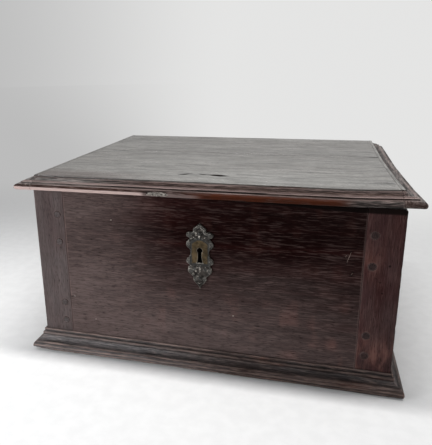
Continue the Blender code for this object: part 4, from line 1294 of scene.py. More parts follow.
def opened_joint(rings, joint):
    """The joint between the boards has opened at the right-hand end."""
    near = smooth(-np.abs(rings[..., 1] - joint), -1.2 * MM, -0.2 * MM)
    return 0.9 * MM * near * smooth(rings[..., 0], 0.196, 0.214)


def lid_warp(places):
    """The lid's right end has warped: its front corner stands up, and its edge bows in behind that."""
    x, y = places[..., 0], places[..., 1]
    shift = np.zeros(places.shape)
    bow = np.interp(y, (LID_EDGE_Y, -0.14, 0.0, BACK_Y), (1.0, -1.8, -4.0, -2.5)) * MM
    shift[..., 0] = bow * smooth(x, 0.12, CLEAT_X)
    shift[..., 2] = 2.3 * MM * smooth(x, 0.155, LID_X) * smooth(-y, -0.02, -LID_EDGE_Y)
    return shift


def lid_inset(points):
    """Distance in from the lid's moulded edges."""
    straight = points - lid_warp(points)
    return np.minimum(straight[:, 1] - LID_EDGE_Y, LID_X - np.abs(straight[:, 0]))


def lid_rise(points):
    """Height above the lid's underside."""
    return (points - lid_warp(points))[:, 2] - LID_Z


warped_corner = np.array([[LID_X, LID_EDGE_Y, LID_Z]])
print("the warped corner moves by", lid_warp(warped_corner)[0].round(4))

# %% [markdown]
# The top is waxed and catches the pale room in long streaks, but it has gone dull towards the front. Two
# rules here say which faces belong to the moulded edge or the underside, and so take another finish. They
# work from the edge inwards, with the warp taken out, so that they fit the front and both ends.


# %% Parts of the lid
def brown_corner(points):
    """The front left of the top, where the wax has worn through to brown wood."""
    return smooth(-points[:, 0], 0.04, 0.16) * smooth(-points[:, 1], 0.125, 0.165)


def on_nosing(points):
    return smooth(-lid_inset(points), -5.5 * MM, -3 * MM) * smooth(-lid_rise(points), -7.0 * MM, -6.0 * MM)


def lid_under(points):
    return smooth(-lid_rise(points), -0.5 * MM, -0.1 * MM)


def lid_haze(points):
    top = smooth(lid_rise(points), LID_TOP - LID_Z - 0.4 * MM, LID_TOP - LID_Z - 0.2 * MM)
    drift = ripple(points, (0.16, 0.05, 1), 95)
    front = smooth(-points[:, 1], 0.06, 0.16)
    dull = (0.5 + 0.35 * front + 0.3 * drift) * (1 - 0.75 * brown_corner(points))
    return np.clip(top * dull + lid_under(points) * 0.6, 0, 1)


def moulded_edge(points):
    """True on the moulding round the lid, below the flat top."""
    below = (lid_inset(points) < 19.4 * MM) & (lid_rise(points) < 15.0 * MM)
    return below & ((lid_rise(points) > 0.8 * MM) | (lid_inset(points) < 6.0 * MM))


def lid_underside(points):
    return (lid_rise(points) < 0.8 * MM) & (lid_inset(points) > 6.0 * MM)


print("the lid is", round((LID_TOP - LID_Z) / MM, 1), "mm thick")

# %% [markdown]
# Dust lies on the moulded edge, hands have worn the nosing brown and its arrises pale, and old wax has
# gathered in the steps. A highlight is painted along the lower half of the nosing at the left. As on the
# front, each rule gives every point a strength.


# %% Wear of the lid's edge
def lid_grime(points):
    """Dirt and old wax in the steps of the moulded edge."""
    inset = lid_inset(points)
    steps = smooth(inset, 5 * MM, 7 * MM) * smooth(-inset, -19.6 * MM, -18.8 * MM)
    return 0.3 * steps * (0.7 + 0.3 * ripple(points, (0.04, 0.04, 0.004), 96))


def lid_worn(points):
    """Pale lines where hands and dusters rubbed the arrises, and a painted highlight low on the nosing."""
    inset = lid_inset(points) / MM
    rise = lid_rise(points) / MM
    patchy = 0.34 + 0.2 * ripple(points, (0.05, 0.05, 0.02), 98)
    shelf = smooth(inset, 4.2, 5.2) * smooth(-rise, -7.6, -6.9)
    step = smooth(inset, 6.3, 6.8) * smooth(-inset, -11.2, -10.3)
    arris = step * smooth(rise, 8.5, 8.9) * smooth(-rise, -10.5, -10.2)
    upper = smooth(inset, 16.6, 18.0) * smooth(-np.abs(rise - 13.2), -1.1, -0.4)
    edge = np.maximum(np.maximum(shelf, 1.7 * arris), upper) * (inset < 19.6)
    returned = LID_X - np.abs(points[:, 0]) < points[:, 1] - LID_EDGE_Y
    edge = edge * np.where(returned, 0.3, 1 - 0.3 * smooth(points[:, 0], 0.05, 0.15))
    # Painted highlight: the lower half of the nosing at the left, and faintly further right.
    nosing_highlight = np.maximum(smooth(-points[:, 0], 0.066, 0.074), 0.25 * smooth(-points[:, 0], -0.006, 0.012))
    nosing_highlight = nosing_highlight * on_nosing(points) * smooth(-rise, -4.4, -3.2)
    return np.clip(np.maximum(edge * patchy, nosing_highlight), 0, 1)


def edge_haze(points):
    """Dust lies on the moulding towards the left, and along the right-hand end."""
    dusty = np.maximum(0.8 * smooth(-points[:, 0], 0.06, 0.19), 0.55 * smooth(points[:, 0], 0.222, 0.232))
    dusty = dusty * moulded_edge(points)
    dull_end = 0.26 * on_nosing(points) * smooth(points[:, 0], 0.148, 0.178)
    return np.maximum(lid_haze(points), np.maximum(dusty * (1 - on_nosing(points)), dull_end))


def lid_rubbed(points):
    """Brown wood along the nosing, most of it right of the middle, and in the worn corner of the top."""
    middle = smooth(points[:, 0], -0.035, 0.01) * smooth(-points[:, 0], -0.178, -0.145)
    left = 0.15 * smooth(-points[:, 0], 0.06, 0.08)
    patches = 0.9 + 0.3 * ripple(points, (0.010, 1, 0.003), 97)
    brown = 0.25 * brown_corner(points) * smooth(lid_rise(points), 14 * MM, 15 * MM)
    return np.clip(on_nosing(points) * np.maximum(middle * patches, left) + brown, 0, 1)


def lid_polish(points):
    return on_nosing(points) * smooth(-points[:, 0], 0.06, 0.08)


lid_marks = {
    "haze_and_sheen": edge_haze, "rubbed": lid_rubbed, "polish": lid_polish, "grime_and_shade": lid_grime, "wear_and_highlight": lid_worn,
    "bare": lid_under,
}
print("wear of the lid:", sorted(lid_marks))

# %% [markdown]
# Short deep cracks have opened along the front of the top, and a splinter has broken out of the nosing. They
# are holes with walls of their own, so they are carved. The cracks follow the lid's warp.

# %% Cracks and the chip
UP = Vector((0, 0, 1))
ACROSS = Vector((0, 1, 0))
# Both ends in X and Y, the number of points, and the sway, width and depth in millimetres.
LID_CRACKS = [
    ((-0.041, -0.1425), (-0.0235, -0.1310), 11, 0.9, 6.5, 3.0),
    ((-0.0160, -0.1320), (-0.0040, -0.1340), 9, 0.6, 4.5, 2.4),
    ((-0.0030, -0.1350), (0.0255, -0.1375), 13, 1.2, 11, 4.0),
    ((0.196, -0.1440), (0.2185, -0.1455), 9, 0.5, 2.2, 1.8),
    ((-0.196, 0.0160), (-0.165, 0.0150), 9, 0.6, 0.5, 1.2),
]
front_cuts = []
for number, (start, end, count, sway, width, depth) in enumerate(LID_CRACKS):
    path = np.array(wandering((*start, LID_TOP), (*end, LID_TOP), count, (0, sway * MM, 0), 101 + number))
    path = [Vector(point) for point in path + lid_warp(path)]
    front_cuts.append((split(path, width * MM, depth * MM, UP, ACROSS), crack_wood))
CHIP = (-0.0518, LID_EDGE_Y - 0.8 * MM, LID_Z + 3.0 * MM)
chip = lump(CHIP, (15 * MM, 3.0 * MM, 3.4 * MM), 110, (0.09, 0.5, 0.35), 5)
front_cuts.append((chip, chipped_wood))
print("cuts in the lid:", len(front_cuts))

# %% [markdown]
# The front board carries the moulded edge. The straps of the hinges are let into the underside of the back
# board, so their own outlines, a little widened, are carved out of it as beds. Faces on the edge and below
# take other finishes than the top.


# %% Lid boards
def lid_board(section):
    """Rings of a lid board, worn but still straight."""
    section = spaced(eased(section, lid_ease), lid_step)
    rings, into = run(section, 0, -CLEAT_X + GAP, CLEAT_X - GAP, 1.9 * MM)
    return lid_wear(rings, into, 120)


def strap_recesses():
    """The beds let into the lid's underside for the hinge straps, from the straps' own outlines."""
    for label in ("left", "right"):
        name = f"hinge_{label}_strap"
        top = max(vertex.co.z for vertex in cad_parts[name].data.vertices)
        loop = [Vector(point) for point in flat_outlines(name, 2, 1)[0]]
        centre = sum(loop, Vector((0, 0))) / len(loop)
        wide = [point + (point - centre).normalized() * GAP for point in loop]
        wide = [(point.x, min(point.y, BACK_Y + 0.004)) for point in wide]
        yield prism([(x, y, LID_Z - PAST) for x, y in wide], [(x, y, top + GAP) for x, y in wide])


edge = [(LID_EDGE_Y + u, LID_Z + v) for u, v in lid_edge]
rings = lid_board(edge + [(LID_JOINT_Y, LID_TOP), (LID_JOINT_Y, LID_Z)])
rings[..., 1] -= opened_joint(rings, LID_JOINT_Y)
rings += lid_warp(rings)
piece(
    "lid_front_board", ring_mesh("lid_front", rings), lid_oak, "lid", ["lid_front_board"],
    [join_cutters("lid_front_cuts", front_cuts)], lid_marks,
    [(edge_oak, moulded_edge), (back_oak, lid_underside)]
)
joint = LID_JOINT_Y + GAP
rings = lid_board([(joint, LID_Z), (BACK_Y, LID_Z), (BACK_Y, LID_TOP), (joint, LID_TOP)])
rings[..., 1] += opened_joint(rings, joint)
rings += lid_warp(rings)
beds = join_cutters("strap_beds", [(bed, crack_wood) for bed in strap_recesses()])
piece(
    "lid_back_board", ring_mesh("lid_back", rings), lid_oak, "lid", ["lid_back_board"], [beds],
    lid_marks, [(back_oak, lid_underside)]
)

# %% [markdown]
# A cleat's moulding turns the corner: first along the front edge, then back along the lid's end. Each
# point of the section follows that bend at its own distance from the edge, which draws the mitre.

# %% Lid cleats
width = LID_X - CLEAT_X
cleat_section = eased(lid_edge + [(width, LID_TOP - LID_Z), (width, 0.0)], 0.35 * MM)
cleat_section = spaced(cleat_section, lambda place: 5 * MM if place.y < 0.1 * MM else 0.7 * MM)
inset = np.array([point[0] for point in cleat_section])
rise = np.array([point[1] for point in cleat_section])
turn_in = inward(cleat_section)
FRONT_STEPS = 16
SIDE_STEPS = 200


def cleat_rubbed(points):
    left = 0.1 * smooth(-points[:, 0], 0.0, 0.1)
    return np.clip(on_nosing(points) * (left + 0.12 + 0.2 * ripple(points, (0.02, 0.02, 0.004), 131)), 0, 1)


for label, side in (("left", -1), ("right", 1)):
    rings = []
    into = []
    for share in np.linspace(0, 1, FRONT_STEPS):
        x = CLEAT_X + (LID_X - inset - CLEAT_X) * share
        rings.append(np.stack([side * x, LID_EDGE_Y + inset, LID_Z + rise], axis=1))
        into.append(np.stack([-side * turn_in[:, 0] * (share == 1), turn_in[:, 0], turn_in[:, 1]], axis=1))
    for share in np.linspace(0, 1, SIDE_STEPS)[1:]:
        y = LID_EDGE_Y + inset + (BACK_Y - LID_EDGE_Y - inset) * share
        rings.append(np.stack([side * (LID_X - inset), y, LID_Z + rise], axis=1))
        into.append(np.stack([-side * turn_in[:, 0], 0 * y, turn_in[:, 1]], axis=1))
    rings = np.array(rings)
    grained = sunk_by(rings, (0.10, (0.004, 0.05, 0.004), 133 + side))
    knocked = 0.4 * MM * smooth(ripple(rings, (0.012, 0.012, 0.006), 136 + side), 0.4, 0.9)
    inner = np.abs(rings[..., 0]) > CLEAT_X + 0.5 * MM
    rings += np.array(into) * ((grained + knocked) * inner)[..., None]
    rings += lid_warp(rings)
    piece(
        f"lid_{label}_cleat", ring_mesh(f"{label}_cleat", rings), cleat_oak, "lid",
        [f"lid_{label}_cleat"], (), {**lid_marks, "rubbed": cleat_rubbed},
        [(edge_return_oak, moulded_edge), (dry_cleat_oak, lid_underside)]
    )

# %% [markdown]
# ## Brass and iron
# Old brass is dark brown where it has tarnished, bright where hands rub its high parts, and black where
# polish and dirt have dried in the hollows. The bright spots on the lobes, the gable and the ledge are partly
# bare metal and partly painted highlights, and pale flecks on the border are painted highlights. The bulge
# that is stored with each piece tells high from low, so one finish serves the keyhole's plate and its pins.


# %% Brass
def brass(name):
    finish, tree, shader = new_finish(name)
    place = node(tree, "TexCoord").outputs["Object"]
    cloud = noise(tree, place, (110, 110, 110), 4, 0.6)
    speck = noise(tree, place, (900, 900, 900), 3, 0.6)
    clouds = between(tree, cloud, 0.36, 0.66)
    metal = tint(tree, clouds, (0.012, 0.0100, 0.0088, 1), (0.050, 0.0425, 0.0375, 1))
    plain = tint(tree, clouds, (0.036, 0.025, 0.012, 1), (0.108, 0.075, 0.038, 1))
    metal = tint(tree, stored(tree, "field"), metal, plain)
    rubbed = between(tree, stored(tree, "bulge"), 0.06, 0.22, 0.0, 0.2)
    # Rubbed high parts, and the stored bright spots, which are partly bare metal and partly painted
    # highlights.
    polish_and_glint = sums(tree, "MAXIMUM", rubbed, stored(tree, "bright"))
    polish_and_glint = sums(tree, "MULTIPLY", polish_and_glint, between(tree, cloud, 0.36, 0.6, 0.6, 1.0))
    # Pale flecks on the border are painted highlights.
    glint_flecks = between(tree, noise(tree, place, (380, 380, 380), 2), 0.56, 0.70, 0.0, 0.4)
    on_border = sums(tree, "SUBTRACT", 1.0, stored(tree, "field"))
    polish_and_glint = sums(tree, "MAXIMUM", polish_and_glint, sums(tree, "MULTIPLY", glint_flecks, on_border))
    metal = tint(tree, polish_and_glint, metal, (0.80, 0.74, 0.66, 1))
    grime_and_shade = between(tree, stored(tree, "hollow"), 0.03, 0.15, 0.0, 0.92)
    metal = tint(tree, grime_and_shade, metal, (0.008, 0.0075, 0.006, 1))
    put(tree, shader.inputs["Base Color"], metal)
    put(tree, shader.inputs["Metallic"], between(tree, grime_and_shade, 0.0, 1.0, 0.8, 0.2))
    put(tree, shader.inputs["Roughness"], between(tree, speck, 0.3, 0.7, 0.36, 0.54))
    bump = node(tree, "Bump", {"Height": speck, "Strength": 0.35, "Distance": 0.0002})
    put(tree, shader.inputs["Normal"], bump.outputs[0])
    return finish


old_brass = brass("old_brass")
print("brass made")

# %% [markdown]
# The plate is cast: a lobed border with scrolls, a gable at the top, a leaf at the foot and a plain field
# round the keyhole. Its outline comes from the frame's node. One flat face would have no points for a relief
# to raise, so a triangulation fills the outline with a fine grid of them.


# %% Points of the keyhole plate
def crosses(points, loops):
    """True where a point lies inside the first loop and outside the others."""
    inside_it = np.zeros(len(points), bool)
    for loop in loops:
        ends = np.array(loop)
        starts = np.roll(ends, 1, axis=0)
        for (ax, az), (bx, bz) in zip(starts, ends):
            spans = (az > points[:, 1]) != (bz > points[:, 1])
            where = ax + (points[:, 1] - az) / (bz - az + 1e-15) * (bx - ax)
            inside_it ^= spans & (points[:, 0] < where)
    return inside_it


def nearest(points, loop):
    """Distance from each point to a closed outline."""
    ends = np.array(loop)
    starts = np.roll(ends, 1, axis=0)
    best = np.full(len(points), 1.0)
    for a, b in zip(starts, ends):
        side = b - a
        share = np.clip((points - a) @ side / (side @ side + 1e-15), 0, 1)
        best = np.minimum(best, np.linalg.norm(points - a - share[:, None] * side, axis=1))
    return best


loops = [spaced(loop, 0.6 * MM) for loop in flat_outlines("escutcheon", 1, -1)]
border, hole = loops[0], loops[1]
pins = [np.mean(loop, axis=0) for loop in loops[2:]]
low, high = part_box("escutcheon")
GRID = 0.5 * MM
columns, rows = np.meshgrid(np.arange(low.x, high.x, GRID), np.arange(low.z, high.z, GRID))
shifted = (np.arange(columns.size) // columns.shape[1] % 2) * GRID / 2
filling = np.stack([columns.ravel() + shifted, rows.ravel()], axis=1)
room = np.min([nearest(filling, loop) for loop in loops], axis=0)
filling = filling[crosses(filling, loops) & (room > GRID / 2)]
rim_points = [Vector(point) for loop in loops for point in loop]
rim_edges = []
for loop in loops:
    first = len(rim_edges)
    rim_edges += [(first + i, first + (i + 1) % len(loop)) for i in range(len(loop))]
inner_points = [Vector(point) for point in filling]
flat, _, faces, *_ = delaunay_2d_cdt(rim_points + inner_points, rim_edges, [], 0, 1e-8)
flat = np.array([tuple(point) for point in flat])
faces = np.array(faces)
faces = faces[crosses(flat[faces].mean(axis=1), loops)]
print("keyhole plate:", len(flat), "points and", len(faces), "triangles")

# %% [markdown]
# The relief adds simple forms: a rounded rim, a bead round the plain field, a boss with a coil in every
# lobe, two ridges along the gable, ribs that fan out below it and in the leaf, a lip round the keyhole and a
# ledge under it. They could be sculpted by hand, but sums of soft ridges are easy to change.

# %% Relief of the keyhole plate
keyhole_x = np.mean([x for x, _ in hole])
keyhole_z = max(z for _, z in hole) - 3.6 * MM
across = (flat[:, 0] - keyhole_x) / MM
upward = (flat[:, 1] - keyhole_z) / MM
from_border = nearest(flat, border) / MM
from_hole = nearest(flat, hole) / MM


def bead(distance, middle, width):
    """A soft ridge along a line, some way from where the distance starts."""
    return np.exp(-((distance - middle) / width) ** 2)


FIELD_HALF, FIELD_TOP, FIELD_FOOT = 11.4, 15.2, -18.6
arch = FIELD_TOP - 0.045 * across ** 2
field_edge = np.maximum(np.abs(across) - FIELD_HALF, np.maximum(upward - arch, FIELD_FOOT - upward))
field = smooth(-field_edge, -0.2, 0.8)
relief = -0.30 * field - 0.45 * bead(field_edge, -0.2, 0.55) + 0.40 * bead(field_edge, 1.1, 0.7)
relief += 0.25 * bead(from_border, 1.2, 0.6) * (1 - field)
LOBES = [
    (13.6, 20.4, 2.9), (14.4, 8.6, 3.0), (14.2, -15.0, 3.1), (12.2, -26.6, 3.3), (6.2, -38.0, 2.6),
    (7.0, -24.5, 2.2),
]
for x, z, size in LOBES:
    distance = np.hypot(np.abs(across) - x, upward - z)
    twist = np.arctan2(upward - z, np.abs(across) - x)
    coil = np.cos(twist + distance * 2.1)
    relief += (0.6 + 0.4 * coil) * bead(distance, 0, size) * (1 - field)
gable = smooth(upward, 19.5, 22)
relief += gable * (0.55 * bead(from_border, 1.0, 0.5) + 0.40 * bead(from_border, 3.0, 0.5))
relief -= 0.25 * gable * smooth(from_border, 3.5, 4.5)
leaf = smooth(-upward, 20.5, 23.5)
relief += 0.40 * leaf * np.cos(np.arctan2(across, -(upward + 14)) * 15) * smooth(from_border, 0.3, 1.5)
shoulder = smooth(upward, 12.5, 15.0) * smooth(-upward, -22.0, -19.5)
relief += 0.30 * shoulder * np.cos(np.arctan2(across, upward - 4.0) * 17)
relief += 0.10 * bead(from_hole, 0.8, 0.55)
relief += 0.6 * bead(upward, -17.1, 0.55) * smooth(-np.abs(across), -5.0, -3.6)
relief -= 0.9 * smooth(-from_border, -0.9, 0.05) + 0.3 * smooth(-from_hole, -0.5, 0.02)
for pin in pins:
    relief *= smooth(np.linalg.norm(flat - pin, axis=1), 2.1 * MM, 3.4 * MM)
spots = np.stack([flat[:, 0], 0 * flat[:, 0], flat[:, 1]], axis=1)
relief += 0.08 * ripple(spots, (0.003, 1, 0.003), 141)
relief += 0.22 * ripple(spots, (0.0018, 1, 0.0018), 142) * (1 - field) * smooth(from_border, 0.5, 1.5)
print("relief from", round(relief.min(), 2), "to", round(relief.max(), 2))

# %% [markdown]
# The triangles become a thin solid: the raised face in front, a flat back, and walls along every edge that
# only one triangle has. Two rules mark the plain field and the spots of bare metal and painted highlights.

# %% Keyhole plate
RELIEF_HEIGHT = 0.8 * MM
raised = low.y - relief * RELIEF_HEIGHT
solid = bmesh.new()
face_points = [solid.verts.new((x, y, z)) for (x, z), y in zip(flat, raised)]
back_points = [solid.verts.new((x, high.y, z)) for x, z in flat]
border_edges = {}
for corners in faces:
    solid.faces.new([face_points[i] for i in corners])
    solid.faces.new([back_points[i] for i in corners[::-1]])
    for i in range(3):
        key = (corners[i - 1], corners[i])
        if key[::-1] in border_edges:
            del border_edges[key[::-1]]
        else:
            border_edges[key] = True
for first, second in border_edges:
    solid.faces.new((face_points[first], face_points[second], back_points[second], back_points[first]))
bmesh.ops.delete(solid, geom=[vert for vert in solid.verts if not vert.link_faces], context="VERTS")
bmesh.ops.recalc_face_normals(solid, faces=solid.faces)
plate = as_mesh("escutcheon", solid)


def plate_place(points):
    """Where a point lies on the plate, in millimetres from the middle of the keyhole's head."""
    return (points[:, 0] - keyhole_x) / MM, (points[:, 2] - keyhole_z) / MM


def plain_field(points):
    across, upward = plate_place(points)
    top = upward - FIELD_TOP + 0.045 * across ** 2
    return smooth(-np.maximum(np.abs(across) - FIELD_HALF, np.maximum(top, FIELD_FOOT - upward)), -0.1, 0.9)


def bare_and_highlight_spots(points):
    """Bare metal and painted highlights: the gable's edges, a drop below it, the lobes and the ledge."""
    across, upward = plate_place(points)
    edge = nearest(points[:, [0, 2]], border) / MM
    right = smooth(across, -0.5, 0.5)
    chevron = smooth(upward, 20.5, 22.5) * (line(edge, 1.2, 0.8) + right * line(edge, 3.2, 0.8))
    drop = np.exp(-((across + 0.4) / 0.9) ** 2 - ((upward - 19.6) / 1.9) ** 2)
    ledge_there = line(upward, -16.8, 1.5) * smooth(-np.abs(across), -5.2, -3.6)
    bright = np.maximum(np.maximum(0.8 * chevron, drop), ledge_there)
    # The lobes at the left take stronger painted highlights than those at the right.
    for x, z, size in LOBES:
        boss = np.exp(-(((np.abs(across) - x) / size) ** 2 + ((upward - z) / size) ** 2) * 2.2)
        bright = np.maximum(bright, boss * (0.95 - 0.45 * right))
    return np.clip(bright, 0, 1)


piece(
    "escutcheon", plate, old_brass, "carcase", ["escutcheon"], (),
    {"field": plain_field, "bright": bare_and_highlight_spots}
)

# %% [markdown]
# The hinges, the lock and the nails are iron that was forged and blackened. Flecks of rust sit on it, and
# its edges are rubbed to paler metal. As with the brass, the stored bulge says where the edges are.


# %% Iron
def iron(name):
    finish, tree, shader = new_finish(name)
    place = node(tree, "TexCoord").outputs["Object"]
    cloud = noise(tree, place, (70, 70, 70), 5, 0.6)
    scale = noise(tree, place, (420, 420, 420), 4, 0.6)
    metal = tint(tree, between(tree, cloud, 0.42, 0.66), (0.028, 0.026, 0.025, 1), (0.060, 0.052, 0.046, 1))
    rust = between(tree, scale, 0.58, 0.75, 0.0, 0.7)
    metal = tint(tree, rust, metal, (0.065, 0.026, 0.012, 1))
    bulge = stored(tree, "bulge")
    metal = tint(tree, between(tree, bulge, 0.08, 0.3, 0.0, 0.6), metal, (0.19, 0.18, 0.17, 1))
    put(tree, shader.inputs["Base Color"], metal)
    put(tree, shader.inputs["Metallic"], between(tree, rust, 0.0, 0.7, 0.9, 0.3))
    put(tree, shader.inputs["Roughness"], between(tree, scale, 0.3, 0.75, 0.42, 0.72))
    bump = node(tree, "Bump", {"Height": scale, "Strength": 0.5, "Distance": 0.0004})
    put(tree, shader.inputs["Normal"], bump.outputs[0])
    return finish


black_iron = iron("black_iron")
print("iron made")

# %% [markdown]
# The frame's iron pieces have the right outlines already. Each is copied, its edges are bevelled, its faces
# are cut finer, and a hammered unevenness is pressed in, so that the light moves on them as on forged work.
# The two pins of the keyhole's plate are made in the same way, in brass.


# %% Forged pieces
def forged(name, body, bevel, step, finish=black_iron):
    """A frame node copied as a mesh with eased edges and a hammered face."""
    solid = bmesh.new()
    solid.from_mesh(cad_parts[name].data)
    bmesh.ops.remove_doubles(solid, verts=solid.verts, dist=1e-6)
    bmesh.ops.dissolve_limit(solid, angle_limit=0.03, verts=solid.verts, edges=solid.edges)
    sharp = [edge for edge in solid.edges if edge.calc_face_angle(0) > math.radians(40)]
    bmesh.ops.bevel(
        solid, geom=sharp, offset=bevel, segments=2, profile=0.6, affect="EDGES", clamp_overlap=True
    )
    bmesh.ops.triangulate(solid, faces=solid.faces)
    for _ in range(5):
        long = [edge for edge in solid.edges if edge.calc_length() > step]
        if not long:
            break
        bmesh.ops.subdivide_edges(solid, edges=long, cuts=1)
        bmesh.ops.triangulate(solid, faces=solid.faces)
    bmesh.ops.recalc_face_normals(solid, faces=solid.faces)
    mesh = as_mesh(name, solid)
    places = points_of(mesh)
    pressed = sunk_by(places, (0.06, (0.006, 0.006, 0.006), 151))
    mesh.vertices.foreach_set("co", (places - points_of(mesh, "normal") * pressed[:, None]).ravel())
    return piece(name, mesh, finish, body, [name])


for label in ("left", "right"):
    forged(f"hinge_{label}_leaf", "carcase", 0.35 * MM, 3 * MM)
    forged(f"hinge_{label}_pin", "carcase", 0.25 * MM, 3 * MM)
    forged(f"hinge_{label}_strap", "lid", 0.35 * MM, 3 * MM)
    forged(f"lock_keeper_{label}", "carcase", 0.2 * MM, 2 * MM)
forged("lock_plate", "carcase", 0.25 * MM, 4 * MM)
forged("lock_case", "carcase", 0.3 * MM, 4 * MM)
forged("lock_spring", "carcase", 0.15 * MM, 2 * MM)
forged("key_pin", "carcase", 0.2 * MM, 2 * MM)
forged("lock_bolt", "bolt", 0.3 * MM, 2.5 * MM)
forged("lid_staple", "lid", 0.3 * MM, 2.5 * MM)
forged("escutcheon_pin_top", "carcase", 0.1 * MM, 1 * MM, old_brass)
forged("escutcheon_pin_bottom", "carcase", 0.1 * MM, 1 * MM, old_brass)

# %% [markdown]
# Hand-made nails have a rose head: a few blows leave flat facets that meet in a low point. One head is six
# rings of ten points, turned a little from nail to nail, so that neighbours differ.

# %% Nail heads
HEAD_SIDES = 10
# The rings of a nail's head: a height and a width, both as shares of its radius.
HEAD_RINGS = [(-0.9, 0.45), (-0.12, 0.5), (0.0, 1.0), (0.18, 0.98), (0.42, 0.62), (0.56, 0.22)]


def rose_head(solid, place, out, radius, seed):
    """Adds one nail head, with its shank sunk behind the surface."""
    out = Vector(out)
    side = out.orthogonal().normalized()
    other = out.cross(side)
    rings = []
    for lift, share in HEAD_RINGS:
        ring = []
        for i in range(HEAD_SIDES):
            turn = (i + 0.3 * seed) / HEAD_SIDES * math.tau
            facet = 1 - 0.09 * math.cos(2.5 * turn + seed) ** 2
            reach = radius * share * facet
            aside = side * reach * math.cos(turn) + other * reach * math.sin(turn)
            ring.append(solid.verts.new(Vector(place) + out * lift * radius + aside))
        rings.append(ring)
    for first, second in zip(rings, rings[1:]):
        for i in range(HEAD_SIDES):
            solid.faces.new((first[i - 1], first[i], second[i], second[i - 1]))
    solid.faces.new(rings[0][::-1])
    solid.faces.new(rings[-1])


def nails(name, body, places, out, radius):
    solid = bmesh.new()
    for number, place in enumerate(places):
        rose_head(solid, place, out, radius, number)
    bmesh.ops.recalc_face_normals(solid, faces=solid.faces)
    return piece(name, as_mesh(name, solid), black_iron, body)


print("points in a nail's head:", HEAD_SIDES * len(HEAD_RINGS))

# %% [markdown]
# The nails hold the hinges, the lock, the staple and the back. Each group of heads is one piece, and rides on
# the body that it is driven into.

# %% Nails
DOWN = (0, 0, -1)
BACKWARD = (0, 1, 0)
LEAF_Y = BACK_Y + GAP + 2.4 * MM
# Millimetres to the side of the strap's middle line, with a place along the strap or a height on the leaf.
STRAP_NAILS = [(3, 0.160), (-3, 0.138), (3, 0.116), (0, 0.0855)]
LEAF_NAILS = [(-10, 0.2165), (10, 0.2165), (0, 0.1905)]
for label in ("left", "right"):
    low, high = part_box(f"hinge_{label}_strap")
    middle = (low.x + high.x) / 2
    spots = [(middle + aside * MM, y, LID_Z) for aside, y in STRAP_NAILS]
    nails(f"strap_{label}_nails", "lid", spots, DOWN, 3.0 * MM)
    spots = [(middle + aside * MM, LEAF_Y, z) for aside, z in LEAF_NAILS]
    nails(f"leaf_{label}_nails", "carcase", spots, BACKWARD, 2.8 * MM)
low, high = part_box("lock_plate")
case_low, case_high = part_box("lock_case")
beside_case = ((low.x + case_low.x) / 2, (high.x + case_high.x) / 2)
spots = [(x, high.y, z) for x in beside_case for z in (low.z + 6 * MM, high.z - 8 * MM)]
nails("lock_nails", "carcase", spots, BACKWARD, 2.2 * MM)
low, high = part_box("lid_staple")
middle_y = (low.y + high.y) / 2
spots = [(x, middle_y, high.z - 2 * MM) for x in (low.x + 9 * MM, high.x - 9 * MM)]
nails("staple_nails", "lid", spots, DOWN, 2.4 * MM)
BACK_NAILS = (0.040, 0.085, 0.130, 0.175, 0.2195)
spots = [(side * (BODY_X - 10.5 * MM), BACK_Y, z) for side in (-1, 1) for z in BACK_NAILS]
nails("back_nails", "carcase", spots, BACKWARD, 2.6 * MM)

# %% [markdown]
# A few flecks of pale paint have dried on the front over the years. Each is a small flat drop that is sunk a
# little into the board, because a painted spot would have no edge to catch the light.

# %% Paint flecks
fleck_paint, tree, shader = new_finish("fleck_paint")
crust = noise(tree, node(tree, "TexCoord").outputs["Object"], (3000, 3000, 3000), 3)
put(tree, shader.inputs["Base Color"], tint(tree, crust, (0.42, 0.38, 0.33, 1), (0.75, 0.70, 0.62, 1)))
put(tree, shader.inputs["Roughness"], between(tree, crust, 0.3, 0.7, 0.6, 0.85))
FLECKS = [(-0.1216, 0.1960, 0.7), (-0.1815, 0.0826, 0.5), (-0.1526, 0.0511, 0.6), (0.0374, 0.0788, 0.6)]
solid = bmesh.new()
for number, (x, z, size) in enumerate(FLECKS):
    drop = lump((x, FRONT_Y + 0.12 * MM, z), (size * MM, 0.30 * MM, 0.75 * size * MM), 160 + number)
    add_solid(solid, drop)
piece("paint_flecks", as_mesh("paint_flecks", solid), fleck_paint, "carcase")

# %% [markdown]
# ## The studio
# The coffer stands on a pale floor in a pale room. Near it the floor is an ordinary matt surface that keeps
# the shadow. Behind the coffer, and far away in every direction, the floor takes the tone of the room, so no
# line shows where the two meet. A built curve of paper would do the same, but only from one side.

# %% Floor
ROOM_TONES = ((0.50, 0.50, 0.50, 1), (0.78, 0.78, 0.775, 1))


def room_tone(tree, way):
    """The pale tone of the room in a direction: it is dimmer far to the left."""
    side = node(tree, "SeparateXYZ", {0: way}).outputs["X"]
    return tint(tree, between(tree, side, -0.66, -0.16), *ROOM_TONES)


def seen_rays(tree):
    """1 for the rays that show the room: straight, mirrored or passed through."""
    path = node(tree, "LightPath")
    seen = sums(tree, "MAXIMUM", path.outputs["Is Camera Ray"], path.outputs["Is Glossy Ray"])
    return sums(tree, "MAXIMUM", seen, path.outputs["Is Transmission Ray"])


